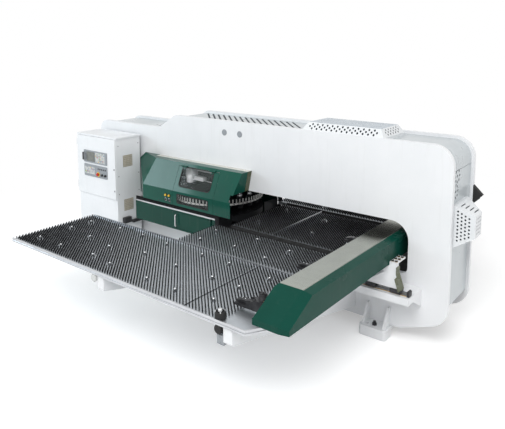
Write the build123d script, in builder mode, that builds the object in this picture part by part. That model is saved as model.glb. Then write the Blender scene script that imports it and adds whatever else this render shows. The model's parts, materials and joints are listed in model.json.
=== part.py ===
from build123d import *
import os
from math import sqrt

os.makedirs("parts", exist_ok=True)

# Closed frame of two side plates
FRAME_LENGTH = 5312.0
FRAME_DEPTH = 675.0
PLATE_THICKNESS = 50.0
FRAME_LIFT = 110.0
FRAME_TOP = 2055.0
LOW_TOP = 1865.0
LOW_LENGTH = 1301.0
STEP_RUN = 295.0
TOP_LEFT_RADIUS = 150.0
TOP_RIGHT_RADIUS = 210.0
STEP_RADIUS = 140.0
TOE_RUN = 482.0
TOE_RISE = 175.0
TOE_RADIUS = 220.0
COLUMN_WIDTH = 419.0
THROAT_LENGTH = 3493.0
THROAT_TOP = 1229.0
THROAT_FLOOR = 700.0
THROAT_RADIUS = 190.0
THROAT_SMALL_RADIUS = 60.0
LINING = 40.0

# Covers between the plates
COVER_RECESS = 30.0
COVER_SHEET = 6.0
COVER_SEAM = 4.0
LEFT_SEAM_FROM_END = 3662.0
GRILLE_LENGTH = 2010.0
END_SEAM_Z = 1790.0
END_COVER_FOOT = 430.0
GRILLE_SLOT_LENGTH = 330.0
GRILLE_SLOT_WIDTH = 26.0
GRILLE_SLOT_PITCH = 76.0
GRILLE_SLOT_COUNT = 22
GRILLE_SLOT_TURN = 45.0
VENT_HOLE_RADIUS = 15.0
VENT_RING_RADIUS = 62.0
VENT_HOLE_COUNT = 8
VENT_LOW_Z = 1580.0
VENT_RISE = 150.0

# Rubber plugs in the front plate
PLUG_RADIUS = 39.0
PLUG_THICKNESS = 5.0
PLUG_FROM_END = 2597.0
PLUG_SPACING = 245.0
PLUG_Z = 1907.0

# Raised guard on the top
TOP_GUARD_FROM_END = 716.0
TOP_GUARD_LENGTH = 980.0
TOP_GUARD_WIDTH = 520.0
TOP_GUARD_RISE = 85.0
TOP_GUARD_SLANT = 53.0
TOP_GUARD_SHEET = 4.0
TOP_GUARD_HOLE_RADIUS = 11.0
TOP_GUARD_HOLE_PITCH = 62.0
TOP_GUARD_HOLE_ROWS = 22.0
TOP_GUARD_HOLE_COUNT = 14
TOP_GUARD_SIDE_HOLES = 6
TOP_GUARD_SLOT_LENGTH = 44.0
TOP_GUARD_SLOT_WIDTH = 14.0
TOP_GUARD_SLOT_PITCH = 66.0
TOP_GUARD_SLOT_ROW = 62.0
TOP_GUARD_SLOT_COUNT = 12
TOP_GUARD_SLOT_ROWS = 6

# Guard on the right end
GUARD_REACH = 204.0
GUARD_FRONT_INSET = 65.0
GUARD_WIDTH = 426.0
GUARD_OUTER_WIDTH = 182.0
GUARD_FOOT_Z = 1056.0
GUARD_HEIGHT = 410.0
GUARD_OUTER_DROP = 58.0
GUARD_OUTER_HEIGHT = 222.0
GUARD_SHEET = 4.0
GUARD_HOLE_RADIUS = 9.5
GUARD_HOLE_PITCH = 36.0
GUARD_HOLE_COLUMNS = 4
GUARD_HOLE_TALLEST = 9
GUARD_OUTER_HOLES = 5
GUARD_SLOT_LENGTH = 130.0
GUARD_SLOT_WIDTH = 12.0
GUARD_SLOT_PITCH = 42.0
GUARD_SLOT_COUNT = 4

# Wedge cowl on the rear plate's end
COWL_FOOT_Z = 1361.0
COWL_HEIGHT = 198.0
COWL_REACH = 97.0
COWL_TIP_RISE = 103.0

# Feet
FOOT_FROM_END = 562.0
FOOT_LENGTH = 300.0
FOOT_SPAN = 3440.0
FOOT_REACH = 175.0
FOOT_PLATE = 30.0
FOOT_CORNER = 36.0
GUSSET_HEIGHT = 190.0
GUSSET_THICKNESS = 26.0
GUSSET_INSET = 34.0
SCREW_RADIUS = 15.0
SCREW_CLEARANCE = 0.4
SCREW_ABOVE = 42.0
NUT_RADIUS = 26.0
NUT_HEIGHT = 22.0
PAD_RADIUS = 62.0
PAD_HEIGHT = 26.0
PAD_CHAMFER = 8.0
SCREW_OUT = 100.0
ANCHOR_RADIUS = 14.0
ANCHOR_SIDE = 74.0

# Brush tables
BRUSH_TIP_Z = 865.0
TABLE_TOP_Z = 828.0
TABLE_SHEET = 6.0
TABLE_TRAY_DEPTH = 43.0
TABLE_END_FROM_END = 842.0
THROAT_TABLE_LENGTH = 1720.0
THROAT_TABLE_WIDTH = 1107.0
SLOT_WIDTH = 84.0
SIDE_TABLE_LENGTH = 1870.0
SIDE_TABLE_WIDTH = 675.0
POST_SIDE = 120.0
POST_INSET_X = 300.0
POST_SPACING_Y = 360.0
WING_GAP = 15.0
WING_LENGTH = 3350.0
WING_WIDTH = 1073.0
WING_TRAY_DEPTH = 28.0
WING_END_FROM_END = 852.0
WING_TONGUE = 260.0
WING_TONGUE_CUT = 430.0
WING_BARE = 250.0
EDGE_RAIL = 12.0
EDGE_RAIL_BELOW = 30.0
EDGE_RAIL_ABOVE = 14.0
EDGE_GROOVE = 5.0
EDGE_GROOVE_HEIGHT = 14.0
BRUSH_MARGIN = 12.0
BRUSH_PITCH = 34.0
BRUSH_WIDTH = 15.0
BRUSH_MAT = 3.0
BRUSH_SEAM = 10.0
THROAT_SEAM_FROM_END = 1952.0

# Cantilever arms and rollers
ARM_WIDTH = 92.0
ARM_RIGHT_FROM_END = 1030.0
ARM_SPACING = 1605.0
ARM_TIP_BACK = 5.0
ARM_TIP_HEIGHT = 130.0
ARM_ROOT_FOOT_Z = 200.0
ARM_STEP_BACK = 40.0
ARM_TIP_RADIUS = 22.0
ROLLER_RADIUS = 40.0
ROLLER_WIDTH = 36.0
ROLLER_BEVEL = 8.0
ROLLER_AXLE_RADIUS = 12.0
ROLLER_OUT = 50.0
LUG_BACK = 75.0
LUG_THICKNESS = 18.0
LUG_HEIGHT = 110.0
RUN_GAP = 0.3

# Rail shelves, rails and saddles
SHELF_FROM_END = 264.0
SHELF_LENGTH = 1740.0
SHELF_TOP_Z = 600.0
SHELF_REACH = 330.0
SHELF_PLATE = 20.0
SHELF_LIP = 70.0
SHELF_LIP_THICKNESS = 16.0
SHELF_GUSSET = 24.0
SHELF_GUSSET_DROP = 120.0
SHELF_GUSSET_REACH = 210.0
SHELF_GUSSET_COUNT = 3
RAIL_WIDTH = 36.0
RAIL_HEIGHT = 32.0
RAIL_WAIST = 5.0
RAIL_END_INSET = 40.0
BLOCK_LENGTH = 110.0
BLOCK_WIDTH = 78.0
BLOCK_LIFT = 10.0
BLOCK_ROOF = 18.0
BLOCK_CHAMFER = 6.0
SADDLE_LENGTH = 369.0
SADDLE_RIGHT_FROM_END = 361.0
SADDLE_THICKNESS = 50.0
SADDLE_NECK = 124.0
SADDLE_NECK_FROM_END = 412.0
SADDLE_NECK_Z = 800.0
SADDLE_HEAD_Z = 842.0
LEDGE_TOP_ABOVE = 34.0
LEDGE_THICKNESS = 14.0
LEDGE_DEPTH = 210.0
LEDGE_GAP = 6.0
LEDGE_BOLT_RADIUS = 11.0
LEDGE_BOLT_HEIGHT = 14.0
SHIELD_SHEET = 6.0
SHIELD_WIDTH = 78.0

# Carriage beam
BEAM_LEFT_FROM_END = 824.0
BEAM_WIDTH = 332.0
BEAM_FOOT_Z = 874.0
BEAM_TOP_Z = 1100.0
BEAM_SHEET = 4.0
BEAM_LEFT_CHAMFER = 22.0
BEAM_RIGHT_CHAMFER_RUN = 89.0
BEAM_RIGHT_CHAMFER_DROP = 20.0
BEAM_LEFT_WALL = 84.0
BEAM_END_BACK = 63.0
BEAM_LIP = 52.0
BEAM_END_RUN = 332.0
GIRDER_INSET = 58.0
GIRDER_WIDTH = 180.0
GIRDER_FOOT_Z = 880.0
GIRDER_HEIGHT = 165.0
GIRDER_WALL = 12.0
GIRDER_END_BACK = 420.0
HANGER_LENGTH = 240.0
HANGER_FROM_EDGE = 180.0

# Cross slide and workholders
CLAMP_SPACING = 930.0
CLAMP_FRONT = 230.0
CROSS_BAR = 22.0
CROSS_BAR_HEIGHT = 112.0
CROSS_BAR_FOOT_Z = 886.0
CROSS_BAR_OVERHANG = 46.0
CROSS_RAIL_HEIGHT = 26.0
CROSS_RAIL_LIFT = 62.0
CROSS_RAIL_DEPTH = 22.0
CROSS_SLIDE_BLOCK = 120.0
CROSS_BAR_GAP = 4.0
CLAMP_REACH = 340.0
CLAMP_WIDTH = 92.0
CLAMP_JAW_Z = 869.0
CLAMP_JAW_HEIGHT = 22.0
CLAMP_TAPER = 16.0
CLAMP_MOUTH = 8.0
CLAMP_HEEL = 150.0
CLAMP_HEEL_HEIGHT = 70.0
CLAMP_CYLINDER_RADIUS = 38.0
CLAMP_CYLINDER_HEIGHT = 46.0
CLAMP_CAP_RADIUS = 30.0
CLAMP_CAP_HEIGHT = 14.0
JAW_THICKNESS = 24.0
JAW_TAIL = 92.0
JAW_PIN_RADIUS = 9.0
JAW_WIDTH = 56.0
JAW_BACK_GAP = 6.0
EAR_THICKNESS = 16.0
EAR_GAP = 1.0
EAR_HEIGHT = 52.0
EAR_LENGTH = 70.0

# Turret hood
HOOD_RIGHT_FROM_END = 2479.0
HOOD_LENGTH = 1526.0
HOOD_REACH = 331.0
HOOD_FOOT_Z = 950.0
HOOD_FOLD_Z = 1138.0
HOOD_TOP_Z = 1482.0
HOOD_TOP_SHELF = 185.0
HOOD_SHEET = 4.0
HOOD_HIP = 430.0
HOOD_HIP_DROP = 95.0
HOOD_HIP_BACK = 115.0
HOOD_LEAN = 70.0
HOOD_SIDE_FOOT_Z = 1232.0
HOOD_RIGHT_RADIUS = 60.0
HOOD_DOOR_LEFT_FROM_END = 3439.0
HOOD_DOOR_LENGTH = 695.0
HOOD_DOOR_GAP = 4.0
HOOD_STRIP = 40.0
WINDOW_MARGIN = 78.0
WINDOW_RIGHT_MARGIN = 88.0
WINDOW_LOW_SHARE = 0.19
WINDOW_HIGH_SHARE = 0.87
WINDOW_RADIUS = 42.0
WINDOW_GLASS = 5.0
WINDOW_LAP = 14.0
LOW_WINDOW_FOOT = 42.0
LOW_WINDOW_HEIGHT = 112.0
LOW_WINDOW_RADIUS = 12.0
HINGE_RADIUS = 11.0
HINGE_PIN_RADIUS = 5.0
HINGE_MIDDLE = 40.0
HINGE_END = 24.0
HINGE_SPLIT = 1.0
HINGE_LEAF = 3.0
HINGE_LEAF_WIDTH = 30.0
HINGE_ROOT = 3.0
HINGE_INSET = 60.0
BUTTON_RADIUS = 15.0
BUTTON_HEIGHT = 14.0
BUTTON_BEZEL = 6.0
BUTTON_BEZEL_HEIGHT = 7.0
BUTTON_TRAVEL = 4.0
BUTTON_FROM_DOOR = 60.0
BUTTON_SPACING = 64.0
BUTTON_Z = 1062.0

# Turret base
BASE_LEFT_FROM_END = 4183.0
BASE_LENGTH = 1456.0
BASE_REACH = 310.0
BASE_FOOT_Z = 626.0
BASE_TOP_Z = 880.0
BASE_SHEET = 4.0
BASE_DOOR_LEFT_FROM_END = 3427.0
BASE_DOOR_LENGTH = 640.0
BASE_DOOR_GAP = 4.0
BASE_DOOR_INSET_Z = 20.0
HANDLE_HEIGHT = 150.0
HANDLE_RADIUS = 8.0
HANDLE_STAND = 34.0
HANDLE_INSET = 40.0
BASE_PIN_RADIUS = 9.0
BASE_LUG_WALL = 6.0
BASE_LUG_HEIGHT = 16.0
STRIP_THICKNESS = 18.0
STRIP_HEIGHT = 64.0

# Turrets and ram
TURRET_FROM_END = 3242.0
TURRET_RADIUS = 600.0
TURRET_PITCH_RADIUS = 520.0
TURRET_STATIONS = 20
UPPER_FOOT_Z = 985.0
UPPER_THICKNESS = 78.0
LOWER_TOP_Z = 852.0
LOWER_THICKNESS = 74.0
TURRET_RIM = 26.0
TURRET_SPINDLE_RADIUS = 95.0
TURRET_WEB = 30.0
GUIDE_RADIUS = 42.0
GUIDE_DROP = 62.0
HEAD_RADIUS = 34.0
HEAD_HEIGHT = 58.0
DIE_RADIUS = 46.0
DIE_HEIGHT = 8.0
DIE_BORE_RADIUS = 20.0
RAM_RADIUS = 44.0
RAM_STROKE = 38.0
RAM_STRIKE_GAP = 1.0
RAM_LENGTH = 300.0
RAM_HOUSING_WIDTH = 220.0
RAM_HOUSING_HEIGHT = 420.0
RAM_HOUSING_CHAMFER = 24.0

# Control cabinet
CABINET_LEFT_FROM_END = 5217.0
CABINET_LENGTH = 849.0
CABINET_DEPTH = 410.0
CABINET_STANDOFF = 60.0
CABINET_TOP_Z = 1735.0
CABINET_SHEET = 5.0
CABINET_PLINTH = 80.0
CABINET_PLINTH_INSET = 20.0
CABINET_ROOF_LIP = 10.0
CABINET_ROOF = 22.0
CABINET_DOOR_FOOT_Z = 905.0
CABINET_DOOR_GAP = 4.0
CABINET_DOOR_THICKNESS = 22.0
CABINET_FRAME = 26.0
CABINET_VENT_HOLE = 13.0
CABINET_VENT_PITCH = 25.0
CABINET_VENT_COUNT = 6
CABINET_VENT_FROM_FRONT = 190.0
CABINET_VENT_HIGH_Z = 1398.0
CABINET_VENT_LOW_Z = 780.0
CABINET_STAY = 50.0
PANEL_INSET = 166.0
PANEL_LENGTH = 509.0
PANEL_THICKNESS = 9.0
PANEL_RADIUS = 10.0
UPPER_PANEL_FOOT_Z = 1336.0
UPPER_PANEL_HEIGHT = 173.0
LOWER_PANEL_FOOT_Z = 1141.0
LOWER_PANEL_HEIGHT = 169.0
SCREEN_INSET = 58.0
SCREEN_LENGTH = 190.0
SCREEN_HEIGHT = 138.0
SCREEN_RECESS = 4.0
KEY_SIZE = 15.0
KEY_PITCH = 20.0
KEY_HEIGHT = 2.0
KEYS_UPPER_ACROSS = 10
KEYS_UPPER_HIGH = 7
KEYS_LOWER_ACROSS = 11
KEYS_LOWER_HIGH = 5
KEYS_INSET = 36.0
READER_LENGTH = 34.0
READER_HEIGHT = 104.0
READER_DEPTH = 26.0
ESTOP_RADIUS = 21.0
ESTOP_STEM = 12.0
ESTOP_HEIGHT = 24.0
ESTOP_TRAVEL = 6.0
ESTOP_PLATE = 32.0
ESTOP_PLATE_HEIGHT = 3.0
KNOB_RADIUS = 17.0
KNOB_HEIGHT = 20.0
KNOB_SKIRT = 4.0
KNOB_POINTER = 7.0
KNOB_SPACING = 70.0
ESTOP_FROM_LEFT = 316.0

OVERRUN = 20.0

# Places worked out from the sizes
half_depth = FRAME_DEPTH / 2
inner_half = half_depth - PLATE_THICKNESS
x_right = (FRAME_LENGTH - GUARD_REACH) / 2
x_left = x_right - FRAME_LENGTH
throat_right = x_right - COLUMN_WIDTH
throat_left = throat_right - THROAT_LENGTH
low = (Align.MIN, Align.MIN)
low3 = (Align.MIN, Align.MIN, Align.MIN)
stand = (Align.CENTER, Align.CENTER, Align.MIN)
hang = (Align.CENTER, Align.CENTER, Align.MAX)

# Outline of a side plate
with BuildSketch(Plane.XZ) as plate_outline:
    with BuildLine():
        Polyline(
            (x_left, FRAME_LIFT),
            (x_left, LOW_TOP),
            (x_left + LOW_LENGTH, LOW_TOP),
            (x_left + LOW_LENGTH + STEP_RUN, FRAME_TOP),
            (x_right, FRAME_TOP),
            (x_right, FRAME_LIFT + TOE_RISE),
            (x_right - TOE_RUN, FRAME_LIFT),
            close=True,
        )
    make_face()
    fillet(vertices().sort_by_distance((x_left, LOW_TOP))[0], TOP_LEFT_RADIUS)
    fillet(vertices().sort_by_distance((x_right, FRAME_TOP))[0], TOP_RIGHT_RADIUS)
    fillet(vertices().sort_by_distance((x_left + LOW_LENGTH, LOW_TOP))[0], STEP_RADIUS)
    fillet(vertices().sort_by_distance((x_left + LOW_LENGTH + STEP_RUN, FRAME_TOP))[0], STEP_RADIUS)
    fillet(vertices().sort_by_distance((x_right, FRAME_LIFT + TOE_RISE))[0], TOE_RADIUS)

# Throat that the sheet and the beam pass through
with BuildSketch(Plane.XZ) as throat_outline:
    with Locations((throat_left, THROAT_FLOOR)):
        Rectangle(THROAT_LENGTH, THROAT_TOP - THROAT_FLOOR, align=low)
    fillet(vertices().sort_by_distance((throat_right, THROAT_TOP))[0], THROAT_RADIUS)
    fillet(vertices().sort_by_distance((throat_right, THROAT_FLOOR))[0], THROAT_SMALL_RADIUS)
    fillet(vertices().sort_by_distance((throat_left, THROAT_TOP))[0], THROAT_SMALL_RADIUS)
    fillet(vertices().sort_by_distance((throat_left, THROAT_FLOOR))[0], THROAT_SMALL_RADIUS)

with BuildSketch(Plane.XZ) as plate_face:
    add(plate_outline.sketch_local)
    add(throat_outline.sketch_local, mode=Mode.SUBTRACT)

# Side plates
with BuildPart() as front_plate:
    with BuildSketch(Plane.XZ.offset(inner_half)):
        add(plate_face.sketch_local)
    extrude(amount=PLATE_THICKNESS)
front_plate.part.label = "front_plate"
export_step(front_plate.part, "parts/front_plate.step")

with BuildPart() as rear_plate:
    with BuildSketch(Plane.XZ.offset(-half_depth)):
        add(plate_face.sketch_local)
    extrude(amount=PLATE_THICKNESS)
rear_plate.part.label = "rear_plate"
export_step(rear_plate.part, "parts/rear_plate.step")

# Lining that ties the two plates round the throat
turret_x = x_right - TURRET_FROM_END
ram_x = turret_x + TURRET_PITCH_RADIUS
with BuildPart() as throat_lining:
    with BuildSketch(Plane.XZ.offset(-inner_half)):
        add(throat_outline.sketch_local)
        offset(amount=LINING)
        add(throat_outline.sketch_local, mode=Mode.SUBTRACT)
    extrude(amount=2 * inner_half)
    with Locations((turret_x, 0, THROAT_TOP), (turret_x, 0, THROAT_FLOOR - LINING)):
        Cylinder(TURRET_SPINDLE_RADIUS + RUN_GAP, LINING, align=stand, mode=Mode.SUBTRACT)
    with Locations((ram_x, 0, THROAT_TOP)):
        Cylinder(RAM_RADIUS + RUN_GAP, LINING, align=stand, mode=Mode.SUBTRACT)
throat_lining.part.label = "throat_lining"
export_step(throat_lining.part, "parts/throat_lining.step")

# Band that every recessed cover is cut from
with BuildSketch(Plane.XZ) as cover_inner:
    add(plate_outline.sketch_local)
    offset(amount=-COVER_RECESS - COVER_SHEET)
with BuildSketch(Plane.XZ) as cover_band:
    add(plate_outline.sketch_local)
    offset(amount=-COVER_RECESS)
    add(cover_inner.sketch_local, mode=Mode.SUBTRACT)
grille_left = x_right - LEFT_SEAM_FROM_END
grille_right = grille_left + GRILLE_LENGTH
cover_foot = FRAME_LIFT + COVER_RECESS + COVER_SHEET + OVERRUN

with BuildPart() as left_cover:
    with BuildSketch(Plane.XZ.offset(-inner_half)):
        add(cover_band.sketch_local)
        with Locations((x_left, cover_foot)):
            Rectangle(grille_left - COVER_SEAM - x_left, FRAME_TOP, align=low, mode=Mode.INTERSECT)
    extrude(amount=2 * inner_half)
left_cover.part.label = "left_cover"
export_step(left_cover.part, "parts/left_cover.step")

with BuildPart() as top_grille:
    with BuildSketch(Plane.XZ.offset(-inner_half)):
        add(cover_band.sketch_local)
        with Locations((grille_left, LOW_TOP)):
            Rectangle(GRILLE_LENGTH, FRAME_TOP, align=low, mode=Mode.INTERSECT)
    extrude(amount=2 * inner_half)
    with BuildSketch(Plane.XY.offset(FRAME_TOP - COVER_RECESS)):
        with Locations((grille_left + GRILLE_LENGTH / 2, 0)):
            with GridLocations(GRILLE_SLOT_PITCH, 0, GRILLE_SLOT_COUNT, 1):
                SlotOverall(GRILLE_SLOT_LENGTH, GRILLE_SLOT_WIDTH, rotation=GRILLE_SLOT_TURN)
    extrude(amount=-COVER_SHEET, mode=Mode.SUBTRACT)
top_grille.part.label = "top_grille"
export_step(top_grille.part, "parts/top_grille.step")

with BuildPart() as top_cover:
    with BuildSketch(Plane.XZ.offset(-inner_half)):
        add(cover_band.sketch_local)
        with Locations((grille_right + COVER_SEAM, END_SEAM_Z)):
            Rectangle(FRAME_LENGTH, FRAME_TOP, align=low, mode=Mode.INTERSECT)
    extrude(amount=2 * inner_half)
top_cover.part.label = "top_cover"
export_step(top_cover.part, "parts/top_cover.step")

# End cover with two rings of vent holes
vent_y = -inner_half + GUARD_FRONT_INSET + VENT_RING_RADIUS
with BuildPart() as end_cover:
    with BuildSketch(Plane.XZ.offset(-inner_half)):
        add(cover_band.sketch_local)
        with Locations((throat_right, END_COVER_FOOT)):
            Rectangle(
                FRAME_LENGTH,
                END_SEAM_Z - COVER_SEAM - END_COVER_FOOT,
                align=low,
                mode=Mode.INTERSECT,
            )
    extrude(amount=2 * inner_half)
    with BuildSketch(Plane.YZ.offset(x_right - COVER_RECESS)):
        with Locations((vent_y, VENT_LOW_Z), (vent_y + VENT_RING_RADIUS / 2, VENT_LOW_Z + VENT_RISE)):
            Circle(VENT_HOLE_RADIUS)
            with PolarLocations(VENT_RING_RADIUS, VENT_HOLE_COUNT):
                Circle(VENT_HOLE_RADIUS)
    extrude(amount=-COVER_SHEET, mode=Mode.SUBTRACT)
end_cover.part.label = "end_cover"
export_step(end_cover.part, "parts/end_cover.step")

# Rubber plugs
with BuildPart() as hole_plugs:
    with BuildSketch(Plane.XZ.offset(half_depth)):
        with Locations(
            (x_right - PLUG_FROM_END, PLUG_Z), (x_right - PLUG_FROM_END - PLUG_SPACING, PLUG_Z)
        ):
            Circle(PLUG_RADIUS)
    extrude(amount=PLUG_THICKNESS)
    chamfer(faces().group_by(Axis.Y)[0].edges(), PLUG_THICKNESS / 2)
hole_plugs.part.label = "hole_plugs"
export_step(hole_plugs.part, "parts/hole_plugs.step")

# Raised perforated guard on the top, a tapered sheet box with a skirt down to the cover
top_guard_x = x_right - TOP_GUARD_FROM_END - TOP_GUARD_LENGTH / 2
top_guard_y = -half_depth + TOP_GUARD_WIDTH / 2
top_guard_z = FRAME_TOP + TOP_GUARD_RISE
skirt_width = TOP_GUARD_WIDTH - PLATE_THICKNESS
skirt_y = -inner_half + skirt_width / 2
with BuildPart() as top_guard:
    with BuildSketch(Plane.XY.offset(FRAME_TOP)):
        with Locations((top_guard_x, top_guard_y)):
            Rectangle(TOP_GUARD_LENGTH, TOP_GUARD_WIDTH)
    with BuildSketch(Plane.XY.offset(top_guard_z)):
        with Locations((top_guard_x, top_guard_y)):
            Rectangle(TOP_GUARD_LENGTH - 2 * TOP_GUARD_SLANT, TOP_GUARD_WIDTH - 2 * TOP_GUARD_SLANT)
    loft()
    with BuildSketch(Plane.XY.offset(FRAME_TOP - COVER_RECESS)):
        with Locations((top_guard_x, skirt_y)):
            Rectangle(TOP_GUARD_LENGTH, skirt_width)
    extrude(amount=COVER_RECESS)
    with BuildSketch(Plane.XY.offset(FRAME_TOP)):
        with Locations((top_guard_x, top_guard_y)):
            Rectangle(TOP_GUARD_LENGTH - 2 * TOP_GUARD_SHEET, TOP_GUARD_WIDTH - 2 * TOP_GUARD_SHEET)
    with BuildSketch(Plane.XY.offset(top_guard_z - TOP_GUARD_SHEET)):
        with Locations((top_guard_x, top_guard_y)):
            Rectangle(
                TOP_GUARD_LENGTH - 2 * TOP_GUARD_SLANT - 2 * TOP_GUARD_SHEET,
                TOP_GUARD_WIDTH - 2 * TOP_GUARD_SLANT - 2 * TOP_GUARD_SHEET,
            )
    loft(mode=Mode.SUBTRACT)
    with BuildSketch(Plane.XY.offset(FRAME_TOP - COVER_RECESS)):
        with Locations((top_guard_x, skirt_y)):
            Rectangle(TOP_GUARD_LENGTH - 2 * TOP_GUARD_SHEET, skirt_width - 2 * TOP_GUARD_SHEET)
    extrude(amount=COVER_RECESS, mode=Mode.SUBTRACT)
    with BuildSketch(Plane.XZ.offset(half_depth)):
        with Locations((top_guard_x, FRAME_TOP + TOP_GUARD_RISE / 2)):
            with GridLocations(TOP_GUARD_HOLE_PITCH, 0, TOP_GUARD_HOLE_COUNT, 1):
                Circle(TOP_GUARD_HOLE_RADIUS)
            with GridLocations(
                TOP_GUARD_HOLE_PITCH, 2 * TOP_GUARD_HOLE_ROWS, TOP_GUARD_HOLE_COUNT - 1, 2
            ):
                Circle(TOP_GUARD_HOLE_RADIUS)
    extrude(amount=-TOP_GUARD_SLANT, mode=Mode.SUBTRACT)
    with BuildSketch(Plane.YZ.offset(top_guard_x + TOP_GUARD_LENGTH / 2)):
        with Locations((top_guard_y, FRAME_TOP + TOP_GUARD_RISE / 2)):
            with GridLocations(TOP_GUARD_HOLE_PITCH, 0, TOP_GUARD_SIDE_HOLES, 1):
                Circle(TOP_GUARD_HOLE_RADIUS)
            with GridLocations(
                TOP_GUARD_HOLE_PITCH, 2 * TOP_GUARD_HOLE_ROWS, TOP_GUARD_SIDE_HOLES - 1, 2
            ):
                Circle(TOP_GUARD_HOLE_RADIUS)
    extrude(amount=-TOP_GUARD_SLANT, mode=Mode.SUBTRACT)
    with BuildSketch(Plane.XY.offset(top_guard_z)):
        with Locations((top_guard_x, top_guard_y)):
            with GridLocations(
                TOP_GUARD_SLOT_PITCH, TOP_GUARD_SLOT_ROW, TOP_GUARD_SLOT_COUNT, TOP_GUARD_SLOT_ROWS
            ):
                Rectangle(TOP_GUARD_SLOT_LENGTH, TOP_GUARD_SLOT_WIDTH)
    extrude(amount=-TOP_GUARD_SHEET, mode=Mode.SUBTRACT)
top_guard.part.label = "top_guard"
export_step(top_guard.part, "parts/top_guard.step")

# Perforated guard on the right end, flush at the front and drawn in at the back, top and foot
guard_front = -half_depth + GUARD_FRONT_INSET
guard_outer_z = GUARD_FOOT_Z + GUARD_HEIGHT - GUARD_OUTER_DROP - GUARD_OUTER_HEIGHT
with BuildPart() as end_guard:
    with BuildSketch(Plane.YZ.offset(x_right)):
        with Locations((guard_front, GUARD_FOOT_Z)):
            Rectangle(GUARD_WIDTH, GUARD_HEIGHT, align=low)
    with BuildSketch(Plane.YZ.offset(x_right + GUARD_REACH)):
        with Locations((guard_front, guard_outer_z)):
            Rectangle(GUARD_OUTER_WIDTH, GUARD_OUTER_HEIGHT, align=low)
    loft()
    with BuildSketch(Plane.YZ.offset(x_right - COVER_RECESS)):
        with Locations((guard_front, GUARD_FOOT_Z)):
            Rectangle(GUARD_WIDTH, GUARD_HEIGHT, align=low)
    extrude(amount=COVER_RECESS)
    with BuildSketch(Plane.YZ.offset(x_right)):
        with Locations((guard_front + GUARD_SHEET, GUARD_FOOT_Z + GUARD_SHEET)):
            Rectangle(GUARD_WIDTH - 2 * GUARD_SHEET, GUARD_HEIGHT - 2 * GUARD_SHEET, align=low)
    with BuildSketch(Plane.YZ.offset(x_right + GUARD_REACH - GUARD_SHEET)):
        with Locations((guard_front + GUARD_SHEET, guard_outer_z + GUARD_SHEET)):
            Rectangle(
                GUARD_OUTER_WIDTH - 2 * GUARD_SHEET, GUARD_OUTER_HEIGHT - 2 * GUARD_SHEET, align=low
            )
    loft(mode=Mode.SUBTRACT)
    with BuildSketch(Plane.YZ.offset(x_right - COVER_RECESS)):
        with Locations((guard_front + GUARD_SHEET, GUARD_FOOT_Z + GUARD_SHEET)):
            Rectangle(GUARD_WIDTH - 2 * GUARD_SHEET, GUARD_HEIGHT - 2 * GUARD_SHEET, align=low)
    extrude(amount=COVER_RECESS, mode=Mode.SUBTRACT)
    with BuildSketch(Plane.XZ.offset(-guard_front)):
        for column in range(GUARD_HOLE_COLUMNS):
            with Locations(
                (
                    x_right + GUARD_HOLE_PITCH * (column + 1),
                    (guard_outer_z + GUARD_OUTER_HEIGHT / 2 + GUARD_FOOT_Z + GUARD_HEIGHT / 2) / 2,
                )
            ):
                with GridLocations(0, GUARD_HOLE_PITCH, 1, GUARD_HOLE_TALLEST - column):
                    Circle(GUARD_HOLE_RADIUS)
    extrude(amount=-GUARD_SHEET, mode=Mode.SUBTRACT)
    with BuildSketch(Plane.XY.offset(GUARD_FOOT_Z + GUARD_HEIGHT)):
        with Locations((x_right + GUARD_REACH / 2, guard_front + GUARD_WIDTH / 3)):
            with GridLocations(GUARD_SLOT_PITCH, 0, GUARD_SLOT_COUNT, 1):
                Rectangle(GUARD_SLOT_WIDTH, GUARD_SLOT_LENGTH)
    extrude(amount=-GUARD_OUTER_DROP, mode=Mode.SUBTRACT)
    with BuildSketch(Plane.YZ.offset(x_right + GUARD_REACH)):
        with Locations((guard_front + GUARD_OUTER_WIDTH / 2, guard_outer_z + GUARD_OUTER_HEIGHT / 2)):
            with GridLocations(GUARD_HOLE_PITCH, GUARD_HOLE_PITCH, GUARD_HOLE_COLUMNS, GUARD_OUTER_HOLES):
                Circle(GUARD_HOLE_RADIUS)
    extrude(amount=-GUARD_SHEET, mode=Mode.SUBTRACT)
end_guard.part.label = "end_guard"
export_step(end_guard.part, "parts/end_guard.step")

# Wedge cowl on the rear plate's end
with BuildPart() as rear_cowl:
    with BuildSketch(Plane.XZ.offset(-half_depth)):
        with BuildLine():
            Polyline(
                (x_right, COWL_FOOT_Z),
                (x_right + COWL_REACH, COWL_FOOT_Z + COWL_TIP_RISE),
                (x_right, COWL_FOOT_Z + COWL_HEIGHT),
                close=True,
            )
        make_face()
    extrude(amount=PLATE_THICKNESS)
rear_cowl.part.label = "rear_cowl"
export_step(rear_cowl.part, "parts/rear_cowl.step")

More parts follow.
